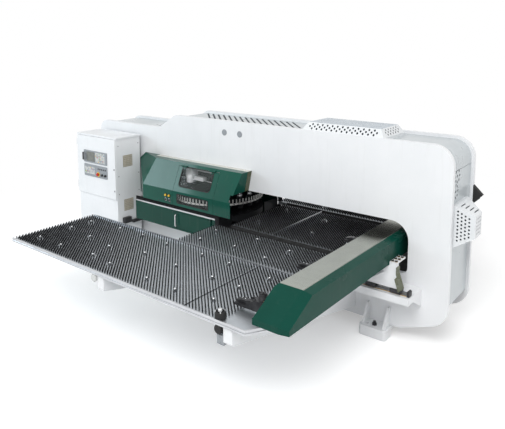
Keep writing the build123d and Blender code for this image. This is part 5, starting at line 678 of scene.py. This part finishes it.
# Rubber on both walls of the slots that the saddles run in
SLOT_WALL = 0.6375
SEAL_THICK, SEAL_TALL, LIP_WIDE = 0.0015, 0.042, 0.012
SEAL_OFF, LIP_IN = 0.0008, 0.0052
low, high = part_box("throat_table")
slot_x, slot_long = (low.x + high.x) / 2, high.x - low.x
seals = Gather()
for _, side in SIDES:
    for wall, inward in ((high.y, 1), (SLOT_WALL, -1)):
        for section, y, z in (
            ((SEAL_THICK, SEAL_TALL), wall + inward * SEAL_OFF, PLATE_Z - SEAL_TALL / 2),
            ((LIP_WIDE, SEAL_THICK), wall - inward * LIP_IN, PLATE_Z + SEAL_OFF),
        ):
            seals.put(planed((slot_long, *section), FINE_EDGE), (slot_x, side * y, z))
seals.piece("slot_seals", "frame", "black_rubber")

# Edge post on the front wing's rail, and the box that carries the roller below it
POST_CUP = [
    (0.044, 0), (0.046, 0.006), (0.046, 0.052), (0.04, 0.064), (0.034, 0.066), (0.032, 0.05)
]
POST_PLUG = [(0.02, 0), (0.02, 0.03), (0.016, 0.036), (0.006, 0.037)]
POST_SCREWS, POST_SCREW_RING = 4, 0.039
ROLLER_BOX = (0.074, 0.06, 0.082)
ARM_END = 0.092
low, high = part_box("front_right_roller")
post = (low.x + high.x) / 2 - 0.01, low.y + 0.05
cup = Gather().put(turned(POST_CUP, 24), (*post, PLATE_Z + 0.001))
cup.piece("edge_post_cup", "beam", "black_rubber")
plug = Gather().put(turned(POST_PLUG, 20), (*post, PLATE_Z + 0.05))
for step in range(POST_SCREWS):
    screw_at = on_circle(POST_SCREW_RING, step + 0.5, POST_SCREWS, post)
    plug.put(cap_screw(0.006, 0.012), (*screw_at, PLATE_Z + 0.064))
plug.piece("edge_post_screws", "beam", "bright_steel")
box_x, box_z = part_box("support_arms")[1].x - ARM_END - ROLLER_BOX[0] / 2, low.z - 0.05
roller_box = Gather().put(planed(ROLLER_BOX, 0.004), (box_x, low.y + 0.052, box_z))
for up in (-0.022, 0.022):
    roller_box.put(cap_screw(0.007, 0.004), (box_x, low.y + 0.022, box_z + up), OUT)
roller_box.piece("roller_box", "frame", "panel_grey")

# Hood: gaskets round the windows, sheets at its top and end, a near-black sheet at its back as
# painted shade, lower buttons and screws
FOLD_Y, FOLD_Z = -0.6685, 1.138
RIDGE_Y, RIDGE_Z = -0.5225, 1.482
HOOD_SLOPE = math.atan2(RIDGE_Z - FOLD_Z, RIDGE_Y - FOLD_Y)
SLOPE_RUN = math.hypot(RIDGE_Z - FOLD_Z, RIDGE_Y - FOLD_Y)
PANE_LAP, PANE_FROM, PANE_TO = 0.014, SLOPE_RUN * 0.19, SLOPE_RUN * 0.87
GASKET_THICK, GASKET_SUNK = 0.004, 0.0005
TOP_LEFT, TOP_RIGHT = -1.449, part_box("hood_shell")[1].x - 0.002
TOP_SHEET, TOP_THICK = 0.08, 0.0016
BACK_THICK, BACK_TALL = 0.0015, 0.112
STRIP_WIDE, STRIP_THICK = 0.075, 0.0016
BUTTON_DROP = 0.058
SEAT_PROFILE = [(0.021, 0), (0.021, 0.005), (0.018, 0.007), (0.016, 0.007)]
BUTTON_PROFILE = [(0.014, 0.006), (0.014, 0.014), (0.012, 0.016), (0.004, 0.0165)]
HOOD_SCREWS_X, HOOD_SCREWS_Z = (-1.4, -1.15, -0.93, -0.145, 0.045), 0.972
PLATE_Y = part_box("front_plate")[0].y


def on_slope(x, along, lift):
    run, rise = math.cos(HOOD_SLOPE), math.sin(HOOD_SLOPE)
    return (x, FOLD_Y + along * run - lift * rise, FOLD_Z + along * rise + lift * run)


def gasket(half_wide, half_tall, corner, over, under):
    outer = rounded_loop(half_wide + over, half_tall + over, corner + over)
    inner = rounded_loop(half_wide - under, half_tall - under, corner - under)
    return band(outer, inner, GASKET_THICK)


low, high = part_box("upper_window")
pane_x, pane_half = (low.x + high.x) / 2, (high.x - low.x) / 2 - PANE_LAP
gaskets = Gather().put(
    gasket(pane_half, (PANE_TO - PANE_FROM) / 2, 0.042, 0.007, 0.005),
    on_slope(pane_x, (PANE_FROM + PANE_TO) / 2, -GASKET_SUNK),
    (HOOD_SLOPE, 0, 0),
)
low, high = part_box("lower_window")
gaskets.put(
    gasket(pane_half, (high.z - low.z) / 2 - PANE_LAP, 0.012, 0.006, 0.004),
    (pane_x, FOLD_Y + GASKET_SUNK, (low.z + high.z) / 2),
    OUT,
)
gaskets.piece("window_gaskets", "hood_door", "black_rubber")

top_x, top_long = (TOP_LEFT + TOP_RIGHT) / 2, TOP_RIGHT - TOP_LEFT
for where, side in SIDES:
    Gather().put(
        planed((top_long, TOP_SHEET, TOP_THICK), FINE_EDGE),
        (top_x, -side * (PLATE_Y - TOP_SHEET / 2), RIDGE_Z + TOP_THICK / 2),
    ).piece("hood_top_sheet_" + where, "frame", "hood_cream")
# Near-black sheet behind the slope: painted shade inside the hood
Gather().put(
    planed((top_long - 0.09, BACK_THICK, BACK_TALL), FINE_EDGE),
    (top_x - 0.04, PLATE_Y - 0.001, RIDGE_Z - 0.186),
).piece("hood_back_shade_sheet", "frame", "painted_shade_black")

shell = [v.co for v in NODES["hood_shell"].data.vertices]
wall = [point for point in shell if point.x > 0.06 and abs(point.y - PLATE_Y) < 0.002]
head = max(wall, key=lambda point: point.x)
foot = max((point for point in wall if point.z < head.z - 0.1), key=lambda point: point.x)
near, far = PLATE_Y - STRIP_WIDE, PLATE_Y - 0.001
strip = [
    (x + out, y, z)
    for x, z in ((foot.x, foot.z), (head.x, head.z - 0.004))
    for y, out in ((near, 0.0), (far, 0.0), (far, STRIP_THICK), (near, STRIP_THICK))
]
Gather().put((strip, BLOCK_FACES)).piece("hood_end_strip", "frame", "olive_paint", smooth=False)

seats, buttons = Gather(), Gather()
for node in ("left_button", "right_button"):
    low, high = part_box(node)
    spot = ((low.x + high.x) / 2, FOLD_Y, (low.z + high.z) / 2 - BUTTON_DROP)
    seats.put(turned(SEAT_PROFILE, 24), spot, OUT)
    buttons.put(turned(BUTTON_PROFILE, 20), spot, OUT)
seats.piece("lower_button_seats", "frame", "rail_steel")
buttons.piece("lower_buttons", "frame", "black_plastic")

screws = Gather()
for x in HOOD_SCREWS_X:
    for y, turn in ((FOLD_Y, OUT), (-FOLD_Y, BACK)):
        screws.put(dome_screw(0.0065, 0.003), (x, y, HOOD_SCREWS_Z), turn)
screws.piece("hood_screws", "frame", "black_steel")

# Casting behind the upper window that guides the striker
GUIDE_X, GUIDE_TOP = pane_x - 0.262, 1.47
GUIDE_SLEEVE = [(0.046, 0), (0.052, 0.01), (0.052, 0.09), (0.046, 0.1)]
casting = Gather()
for shape, x, forward, drop in (
    (planed((0.12, 0.11, 0.19), 0.01), 0.0, 0.055, 0.095),
    (turned(GUIDE_SLEEVE, 28), 0.0, 0.085, 0.255),
    (planed((0.06, 0.05, 0.12), 0.006), 0.0, 0.025, 0.2),
    (planed((0.2, 0.07, 0.052), 0.008), 0.11, 0.035, 0.2),
):
    casting.put(shape, (GUIDE_X + x, PLATE_Y - forward, GUIDE_TOP - drop))
casting.piece("striker_guide", "frame", "white_paint")

# Punch heads on the upper turret, bars, ring and station pins on its rim
STATIONS, STATION_RING, STATION_Z = 20, 0.52, 1.0635
HEAD_PROFILE = [
    (0.0348, 0), (0.0348, 0.03), (0.0342, 0.032), (0.0342, 0.036),
    (0.0348, 0.038), (0.0348, 0.054), (0.03, 0.0578),
]
RIM, BAR_COUNT, BAR_Z, PIN_COUNT, PIN_Z = 0.6, 80, 1.0165, 60, 1.0
BAR_PROFILE = [(0.007, 0), (0.0085, 0.002), (0.0085, 0.042), (0.006, 0.045)]
PIN_PROFILE = [(0.007, 0), (0.007, 0.003), (0.005, 0.004), (0.002, 0.0042)]
low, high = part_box("upper_turret")
centre = (low.x + high.x) / 2, (low.y + high.y) / 2
heads, bars, pins = Gather(), Gather(), Gather()
for step in range(STATIONS):
    head_at = (*on_circle(STATION_RING, step, STATIONS, centre), STATION_Z)
    heads.put(turned(HEAD_PROFILE, 24), head_at)
heads.piece("punch_heads", "upper_turret", "bright_steel")
for step in range(BAR_COUNT):
    bars.put(turned(BAR_PROFILE, 12), (*on_circle(RIM, step, BAR_COUNT, centre), BAR_Z))
bars.put(washer(RIM + 0.0025, RIM - 0.001, 0.022, 120), (*centre, 0.989))
bars.piece("rim_bars", "upper_turret", "rim_steel")
for step in range(PIN_COUNT):
    pin_at = (*on_circle(RIM + 0.002, step, PIN_COUNT, centre), PIN_Z)
    pins.put(turned(PIN_PROFILE, 12), pin_at, (0, QUARTER, FULL_TURN * step / PIN_COUNT))
pins.piece("station_pins", "upper_turret", "black_steel")

# Bristle comb and its holder on the base's upper edge
COMB_PITCH, COMB_ROWS = 0.01, (0.0048, 0.0128)
BRISTLE = [(0.0046, 0), (0.0044, 0.034), (0.003, 0.0625), (0.0012, 0.0635)]
HOLDER_THICK, HOLDER_TALL = 0.004, 0.018
low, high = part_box("bristle_strip")
comb_y = high.y
comb, holders = Gather(), Gather()
dice = random.Random("comb")
bristle = turned(BRISTLE, 6)
for _, side in SIDES:
    for row, inset in enumerate(COMB_ROWS):
        for step in range(int((high.x - low.x - COMB_PITCH) / COMB_PITCH)):
            x = low.x + 0.007 + (step + 0.5 * row) * COMB_PITCH
            comb.put(bristle, (x, side * (comb_y - inset), low.z), (0, 0, dice.uniform(0, 1)))
    holders.put(
        planed((high.x - low.x, HOLDER_THICK, HOLDER_TALL)),
        ((low.x + high.x) / 2, side * (comb_y + HOLDER_THICK / 2), low.z + 0.0092),
    )
comb.piece("bristle_comb", "frame", "brush", stands_for=["bristle_strip"])
holders.piece("bristle_holders", "frame", "bright_aluminium")

# Bristles and tie plates that close the gap between the base's end and the side tables
GAP_ROWS, GAP_PITCH, GAP_COUNT = (0.006, 0.014), 0.008, 8
TALL_BRISTLE = [(0.0046, 0), (0.0044, 0.05), (0.003, 0.1025), (0.0012, 0.1035)]
TIE_LAP, TIE_FLAT, TIE_WALL = 0.042, (0.02, 0.012), (0.008, 0.085)
base_low, base_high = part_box("base_shell")
table_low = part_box("side_tables")[0]
gap_from, gap_to = base_high.x, table_low.x + TIE_LAP
ends, ties = Gather(), Gather()
tall_bristle = turned(TALL_BRISTLE, 6)
for _, side in SIDES:
    for row, inset in enumerate(GAP_ROWS):
        for step in range(GAP_COUNT):
            x = gap_from + 0.005 + (step + 0.5 * row) * GAP_PITCH
            end_at = (x, side * (comb_y + inset), PLATE_Z + 0.01)
            ends.put(tall_bristle, end_at, (0, 0, dice.uniform(0, 1)))
    for section, y, z in (
        (TIE_FLAT, comb_y + TIE_FLAT[0] / 2, PLATE_Z + TIE_FLAT[1] / 2),
        (TIE_WALL, comb_y - TIE_WALL[0] / 2, table_low.z - TIE_WALL[1] / 2),
    ):
        ties.put(planed((gap_to - gap_from, *section)), ((gap_to + gap_from) / 2, side * y, z))
ends.piece("gap_bristles", "frame", "brush")
ties.piece("gap_ties", "frame", "black_steel")

screws = Gather()
for x in (base_low.x + 0.03, base_low.x + 0.37, base_low.x + 0.72, base_high.x - 0.03):
    for z in (base_low.z + 0.025, base_high.z - 0.03):
        for y, turn in ((-comb_y, OUT), (comb_y, BACK)):
            screws.put(dome_screw(0.006, 0.003), (x, y, z), turn)
screws.piece("base_screws", "frame", "black_steel")

# Cabinet: screws and locks, felt behind the vents, cable boxes, card reader and buttons
SIDE_X, DOOR_FRONT, LOCK_X = -1.814, -0.8298, -1.842
CABINET_SCREWS_Y, CABINET_SCREWS_Z = (-0.775, -0.43), (0.3, 0.95, 1.2, 1.62)
VENT_Y, VENT_WIDE, VENT_HEIGHTS = -0.6175, 0.185, (1.398, 0.78)
MESH_LONG, MESH_WIDE, MESH_PITCH, MESH_COUNT = 0.162, 0.011, 0.025, 7
MESH_HALF = MESH_PITCH * (MESH_COUNT - 1) / 2
LOCK_PROFILE = [(0.011, 0), (0.011, 0.004), (0.009, 0.006), (0.003, 0.0062)]
PANEL_BUTTON = [(0.009, 0), (0.009, 0.006), (0.007, 0.008), (0.002, 0.0082)]
PANEL_BUTTONS, PANEL_PITCH, PANEL_ROW = 5, 0.04, (-2.178, -0.8388, 1.266)
CABLE_END = (0.04, PLATE_Y, 0.49)
LOCK_HEIGHTS = (1.3, 1.0)
READER_SIZE, READER_Z = (0.037, 0.028, 0.108), 1.4225
screws = Gather()
for y in CABINET_SCREWS_Y:
    for z in CABINET_SCREWS_Z:
        screws.put(dome_screw(0.0065, 0.003), (SIDE_X, y, z), RIGHT)
screws.piece("cabinet_screws", "frame", "black_steel")
felt = Gather()
for z in VENT_HEIGHTS:
    felt.put(planed((0.003, VENT_WIDE, VENT_WIDE), 0.0008), (SIDE_X - 0.0068, VENT_Y, z))
    for step in range(MESH_COUNT):
        off = MESH_PITCH * step - MESH_HALF
        felt.put(planed((0.001, MESH_LONG, MESH_WIDE), 0.0002), (SIDE_X + 0.0005, VENT_Y, z + off))
        felt.put(planed((0.001, MESH_WIDE, MESH_LONG), 0.0002), (SIDE_X + 0.0005, VENT_Y + off, z))
felt.piece("vent_felts", "frame", "vent_felt")
cable = Gather()
cable.put(planed((0.052, 0.12, 0.08), 0.006), (SIDE_X + 0.026, -0.674, 0.575))
cable.put(planed((0.044, 0.15, 0.04), 0.006), (SIDE_X + 0.022, -0.5, 0.53))
for thick, path in (
    (0.014, [(0.028, -0.62, 0.56), (0.03, -0.59, 0.548), (0.026, -0.56, 0.535)]),
    (0.013, [(0.024, -0.44, 0.53), (0.032, -0.4, 0.52), (0.04, -0.37, 0.5), CABLE_END]),
):
    cable.put(hose([(SIDE_X + x, y, z) for x, y, z in path], thick))
cable.piece("cable_boxes", "frame", "black_plastic")
locks = Gather()
for z in LOCK_HEIGHTS:
    locks.put(turned(LOCK_PROFILE, 20), (LOCK_X, DOOR_FRONT, z), OUT)
locks.piece("door_locks", "cabinet_door", "rail_steel")

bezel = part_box("panel_bezels")[0]
reader = Gather().put(planed(READER_SIZE, 0.003), (bezel.x + 0.0165, bezel.y + 0.0132, READER_Z))
reader.piece("card_reader", "cabinet_door", "black_plastic")
panel_row = Gather()
for step in range(PANEL_BUTTONS):
    button_at = (PANEL_ROW[0] + step * PANEL_PITCH, *PANEL_ROW[1:])
    panel_row.put(turned(PANEL_BUTTON, 16), button_at, OUT)
panel_row.piece("panel_buttons", "cabinet_door", "black_plastic")

# Coloured caps on some of the keys, and the plate round the stop button
KEY_NEAR, KEY_FACE = 0.009, 0.0002
KEY_CAP = planed((0.0135, 0.0006, 0.0135), 0.0002)
KEY_SHARES = (
    (0.2, "panel_grey"), (0.26, "key_blue"), (0.3, "key_green"),
    (0.33, "yellow_plastic"), (0.35, "red_plastic"),
)
key_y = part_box("keypads")[0].y
keys = []
for face in NODES["keypads"].data.polygons:
    x, y, z = face.center
    known = any(abs(x - key_x) < KEY_NEAR and abs(z - key_z) < KEY_NEAR for key_x, key_z in keys)
    if abs(y - key_y) < KEY_FACE and not known:
        keys.append((x, z))
tones = ("key_blue", "key_green", "red_plastic", "panel_grey", "yellow_plastic")
caps = {tone: Gather() for tone in tones}
dice = random.Random("keys")
for x, z in keys:
    pick = dice.random()
    tone = next((tone for share, tone in KEY_SHARES if pick < share), None)
    if tone:
        caps[tone].put(KEY_CAP, (x, key_y - KEY_FACE, z))
for tone, group in caps.items():
    if group.points:
        group.piece("key_caps_" + tone.split("_")[-1], "cabinet_door", tone)
low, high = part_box("stop_button")
plate_at = ((low.x + high.x) / 2, high.y + 0.003, (low.z + high.z) / 2)
stop_plate = Gather().put(washer(0.0322, 0.015, 0.0031), plate_at, OUT)
stop_plate.piece("stop_plate", "cabinet_door", "yellow_plastic")

# Dark sheets inside the two guards, painted shade seen through their holes
END_FOOT_X, END_TALL = 2.556, 0.194
TOP_FOOT_Z, TOP_GAP = 2.057, 0.008
FOOT_BAND, CROWN_BAND = 0.004, 0.001
FOOT_IN, CROWN_IN = 0.014, 0.008


def span(points, first, second, by):
    a, b = [p[first] for p in points], [p[second] for p in points]
    return (min(a) + by, min(b) + by), (max(a) - by, max(b) - by)


skin = [v.co for v in NODES["end_guard"].data.vertices]
crown_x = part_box("end_guard")[1].x - CROWN_BAND
foot = span([p for p in skin if p.x < END_FOOT_X + FOOT_BAND], 1, 2, FOOT_IN)
crown = span([p for p in skin if p.x > crown_x], 1, 2, CROWN_IN)
points, faces = frustum(foot, crown, 0.0, END_TALL)
shade_sheet = Gather().put(([(END_FOOT_X + z, x, y) for x, y, z in points], faces))
shade_sheet.piece("end_guard_shade", "frame", "guard_shade", smooth=False)
skin = [v.co for v in NODES["top_guard"].data.vertices]
crown_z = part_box("top_guard")[1].z
foot = span([p for p in skin if p.z < TOP_FOOT_Z + FOOT_BAND], 0, 1, FOOT_IN)
crown = span([p for p in skin if p.z > crown_z - CROWN_BAND], 0, 1, CROWN_IN)
shade_sheet = Gather().put(frustum(foot, crown, TOP_FOOT_Z, crown_z - TOP_GAP))
shade_sheet.piece("top_guard_shade", "frame", "guard_shade", smooth=False)

# Vent grille on the frame's top: slanted slots, each with a dark sheet just under its face as
# painted shade
SLOT_LONG, SLOT_WIDE, SLOT_PITCH, SLOT_COUNT = 0.64, 0.024, 0.095, 16
SLOT_SLANT = math.radians(-45)
SHADE_PLAY, SHADE_THICK, SHADE_DOWN = 0.0006, 0.003, 0.0022


def slanted_slot(x, wide):
    lean, rise = math.cos(SLOT_SLANT), math.sin(SLOT_SLANT)
    loop = rounded_loop(SLOT_LONG / 2, wide / 2, wide / 2 - 0.0002, 5)
    return [(x + a * lean - b * rise, a * rise + b * lean) for a, b in loop]


low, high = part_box("top_grille")
slot_from = (low.x + high.x) / 2 - 0.035 - SLOT_PITCH * (SLOT_COUNT - 1) / 2
slots = [slot_from + step * SLOT_PITCH for step in range(SLOT_COUNT)]
outline = [(low.x, low.y), (high.x, low.y), (high.x, high.y), (low.x, high.y)]
Gather().put(
    cut_sheet(outline, [slanted_slot(x, SLOT_WIDE) for x in slots], high.z - low.z),
    (0, 0, (low.z + high.z) / 2),
).piece("vent_grille", "frame", "cover_paint", smooth=False, stands_for=["top_grille"])
slot_shades = Gather()
for x in slots:
    slot_shade = cut_sheet(slanted_slot(x, SLOT_WIDE - SHADE_PLAY), [], SHADE_THICK)
    slot_shades.put(slot_shade, (0, 0, high.z - SHADE_DOWN))
slot_shades.piece("grille_slot_shades", "frame", "guard_shade", smooth=False)

# Carriage: bolts on the saddle ledges, skirts on the shields, stops, strips and plugs on the rails
LEDGE_DOWN, LEDGE_X, LEDGE_Y = 0.014, (2.0865, 2.1235), (0.5855, 0.5155, 0.4455)
SKIRT_FROM, SKIRT_TO, SKIRT_LEAN, SKIRT_THICK, SKIRT_WIDE = 0.004, 0.124, 0.34, 0.006, 0.055
STOP_OUT, STOP_SIZE, STOP_SCREW = 0.018, (0.026, 0.07, 0.052), 0.022
PLUG_PITCH = 0.08
bolts, washers = Gather(), Gather()
ledge_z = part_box("saddles")[1].z - LEDGE_DOWN
for _, side in SIDES:
    for x in LEDGE_X:
        for y in LEDGE_Y:
            bolts.put(cap_screw(0.012, 0.015), (x, side * y, ledge_z))
            washers.put(washer(0.0165, 0.0118, 0.002), (x, side * y, ledge_z))
bolts.piece("ledge_bolts", "beam", "black_steel")
washers.piece("ledge_washers", "beam", "brass")

low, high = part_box("saddle_shields")
skirts = Gather()
near, far = high.y - 0.001, high.y + SKIRT_WIDE
for _, side in SIDES:
    skirt = [
        (high.x - 0.006 - (z - low.z) * SKIRT_LEAN + out, side * y, z)
        for z in (low.z + SKIRT_FROM, low.z + SKIRT_TO)
        for y, out in ((near, 0.0), (far, 0.0), (far, SKIRT_THICK), (near, SKIRT_THICK))
    ]
    skirts.put((skirt, BLOCK_FACES if side > 0 else [face[::-1] for face in BLOCK_FACES]))
skirts.piece("shield_skirts", "beam", "olive_paint", smooth=False)

stops, buffers, plugs, strips = Gather(), Gather(), Gather(), Gather()
low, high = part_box("rails")
for _, side in SIDES:
    rail_y = side * (high.y - 0.018)
    for x, inward, turn in ((high.x + STOP_OUT, -1, LEFT), (low.x - STOP_OUT, 1, RIGHT)):
        stops.put(planed(STOP_SIZE, 0.004), (x, rail_y, low.z + STOP_SIZE[2] / 2))
        for off in (-STOP_SCREW, STOP_SCREW):
            stops.put(cap_screw(0.007, 0.008), (x, rail_y + off, low.z + STOP_SIZE[2]))
        buffer_at = (x + inward * STOP_SIZE[0] / 2, rail_y, low.z + 0.041)
        buffers.put(turned([(0.009, 0), (0.009, 0.004)], 16), buffer_at, turn)
    for step in range(int((high.x - low.x) / PLUG_PITCH)):
        plug_at = (low.x + PLUG_PITCH / 2 + step * PLUG_PITCH, rail_y, high.z)
        plugs.put(turned([(0.0085, -0.001), (0.0085, 0.0002)], 14), plug_at)
    for off in (-0.022, 0.022):
        strip_at = ((low.x + high.x) / 2, rail_y + off, low.z + 0.003)
        strips.put(planed((high.x - low.x, 0.004, 0.006), 0.0006), strip_at)
strips.piece("rail_strips", "frame", "brass")
stops.piece("rail_stops", "frame", "black_steel")
buffers.piece("rail_buffers", "frame", "brass")
plugs.piece("rail_plugs", "frame", "black_steel")

# Slabs under the feet
SLAB_OUTER, SLAB_INNER = (0.151, 0.0885, 0.036), (0.08, 0.07, 0.02)
low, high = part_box("foot_brackets")
slab = band(rounded_loop(*SLAB_OUTER), rounded_loop(*SLAB_INNER), low.z - 0.002)
slabs = Gather()
for _, side in SIDES:
    for x in (high.x - 0.15, low.x + 0.15):
        slabs.put(slab, (x, side * (high.y - 0.0875), 0.001))
slabs.piece("foot_slabs", "frame", "white_paint")

# Workholders: cross heads, air fittings and hoses, jaw screws, screws along the cross slide
FITTING = [(0.007, 0), (0.007, 0.006), (0.0055, 0.007), (0.0055, 0.018)]
HEAD_LONG, HEAD_WIDE, HEAD_TALL = 0.062, 0.016, 0.01
SLIDE_SCREWS, SLIDE_END = 14, 0.06
heads, fittings, hoses = Gather(), Gather(), Gather()
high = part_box("clamp_bodies")[1]
barrel_x, heel_z = high.x - 0.075, high.z - 0.06
for node in ("front_jaw", "middle_jaw", "rear_jaw"):
    jaw_low, jaw_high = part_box(node)
    jaw_y = (jaw_low.y + jaw_high.y) / 2
    for cross in ((HEAD_LONG, HEAD_WIDE), (HEAD_WIDE, HEAD_LONG)):
        heads.put(planed((*cross, HEAD_TALL), 0.002), (barrel_x, jaw_y, high.z + HEAD_TALL / 2))
    for x in (barrel_x - 0.058, barrel_x + 0.058):
        for y in (-0.032, 0.032):
            heads.put(cap_screw(0.0075, 0.008), (x, jaw_y + y, heel_z))
    for y in (-0.034, 0.034):
        fittings.put(turned(FITTING, 12), (barrel_x + 0.036, jaw_y + y, heel_z))
        path = [
            (barrel_x + 0.036, jaw_y + y, heel_z + 0.014),
            (barrel_x + 0.04, jaw_y + y, heel_z + 0.034),
            (barrel_x + 0.058, jaw_y + y * 0.9, heel_z + 0.044),
            (high.x - 0.002, jaw_y + y * 0.8, heel_z + 0.03),
            (high.x + 0.004, jaw_y + y * 0.8, heel_z + 0.014),
        ]
        hoses.put(hose(path, 0.0042))
    jaw_screws = Gather()
    for x in (jaw_low.x + 0.05, jaw_low.x + 0.085):
        jaw_screws.put(cap_screw(0.006, 0.006), (x, jaw_y, jaw_high.z))
    jaw_screws.piece(node + "_screws", node, "bright_steel")
heads.piece("clamp_heads", "cross_slide", "black_steel")
fittings.piece("clamp_fittings", "cross_slide", "brass")
hoses.piece("clamp_hoses", "cross_slide", "black_rubber")
low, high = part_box("cross_slide")
screws = Gather()
for step in range(SLIDE_SCREWS):
    y = low.y + SLIDE_END + step * (high.y - low.y - 2 * SLIDE_END) / (SLIDE_SCREWS - 1)
    for z in (low.z + 0.016, high.z - 0.016):
        screws.put(cap_screw(0.006, 0.005), (low.x, y, z), LEFT)
screws.piece("cross_slide_screws", "cross_slide", "bright_steel")

# Floor, light and camera
FLOOR_HALF, FLOOR_DOWN = 60, 0.0005
FLOOR_GLOW, WHITE_FROM, WHITE_TO = 0.32, 3.2, 6.5
WORLD_LIGHT, WORLD_SEEN = 0.64, 1.0
CAMERA_TILT, CAMERA_TURN = math.radians(90 - 7.296), math.radians(37.804)
corners = [(x * FLOOR_HALF, y * FLOOR_HALF, 0) for x, y in ((-1, -1), (1, -1), (1, 1), (-1, 1))]
floor_mesh = bpy.data.meshes.new("floor")
floor_mesh.from_pydata(corners, [], [(0, 1, 2, 3)])
floor = bpy.data.objects.new("floor", floor_mesh)
floor.location.z = -FLOOR_DOWN
SCENE.collection.objects.link(floor)


def background_rays(tree):
    rays = tree.nodes.new("ShaderNodeLightPath")
    seen = sums(tree, "MAXIMUM", rays.outputs["Is Camera Ray"], rays.outputs["Is Glossy Ray"])
    return sums(tree, "MAXIMUM", seen, rays.outputs["Is Transmission Ray"])


pale = bpy.data.materials.new("Pale floor")
pale.use_nodes = True
tree = pale.node_tree
shader = tree.nodes["Principled BSDF"]
seen = background_rays(tree)
for label, value in (
    ("Base Color", (0.88, 0.88, 0.88)),
    ("Roughness", 0.9),
    ("Specular IOR Level", 0.1),
    ("Emission Color", (1, 1, 1)),
    ("Emission Strength", sums(tree, "MULTIPLY", seen, FLOOR_GLOW)),
):
    feed(tree, value, shader.inputs[label])
coords = tree.nodes.new("ShaderNodeTexCoord")
reach = tree.nodes.new("ShaderNodeVectorMath")
reach.operation = "LENGTH"
feed(tree, coords.outputs["Object"], reach.inputs[0])
white, blend = tree.nodes.new("ShaderNodeEmission"), tree.nodes.new("ShaderNodeMixShader")
away = spread(tree, reach.outputs["Value"], WHITE_FROM, WHITE_TO)
feed(tree, sums(tree, "MULTIPLY", away, seen), blend.inputs["Fac"])
feed(tree, shader.outputs["BSDF"], blend.inputs[1])
feed(tree, white.outputs["Emission"], blend.inputs[2])
feed(tree, blend.outputs["Shader"], tree.nodes["Material Output"].inputs["Surface"])
floor_mesh.materials.append(pale)

world = bpy.data.worlds.new("Studio")
SCENE.world = world
world.use_nodes = True
tree = world.node_tree
sky = tree.nodes["Background"].inputs
feed(tree, (1, 1, 1), sky["Color"])
feed(tree, spread(tree, background_rays(tree), 0.0, 1.0, WORLD_LIGHT, WORLD_SEEN), sky["Strength"])


def soft_lamp(name, place, aim, size, power, colour=(1, 1, 1)):
    lamp = bpy.data.lights.new(name, "AREA")
    lamp.shape, lamp.size = "DISK", size
    lamp.energy, lamp.color = power, colour
    thing = bpy.data.objects.new(name, lamp)
    SCENE.collection.objects.link(thing)
    thing.location = place
    thing.rotation_euler = (Vector(aim) - Vector(place)).to_track_quat("-Z", "Y").to_euler()


soft_lamp("key_lamp", (3.6, -6.8, 7.5), (0, 0, 0.9), 5.0, 490)
soft_lamp("fill_lamp", (-7.0, -5.1, 3.65), (0, 0, 0.9), 2.6, 160, (0.78, 0.92, 1.0))
soft_lamp("end_lamp", (8.5, 1.0, 4.5), (0, 0, 1.0), 4.0, 80)

camera = bpy.data.objects.new("camera", bpy.data.cameras.new("camera"))
SCENE.collection.objects.link(camera)
SCENE.camera = camera
camera.data.lens, camera.data.sensor_width = 40.1, 36.0
camera.data.shift_x, camera.data.shift_y = -0.0068, -0.2
camera.location = (4.2501, -5.5478, 3.0265)
camera.rotation_euler = (CAMERA_TILT, 0, CAMERA_TURN)

SCENE.view_settings.view_transform = "Standard"
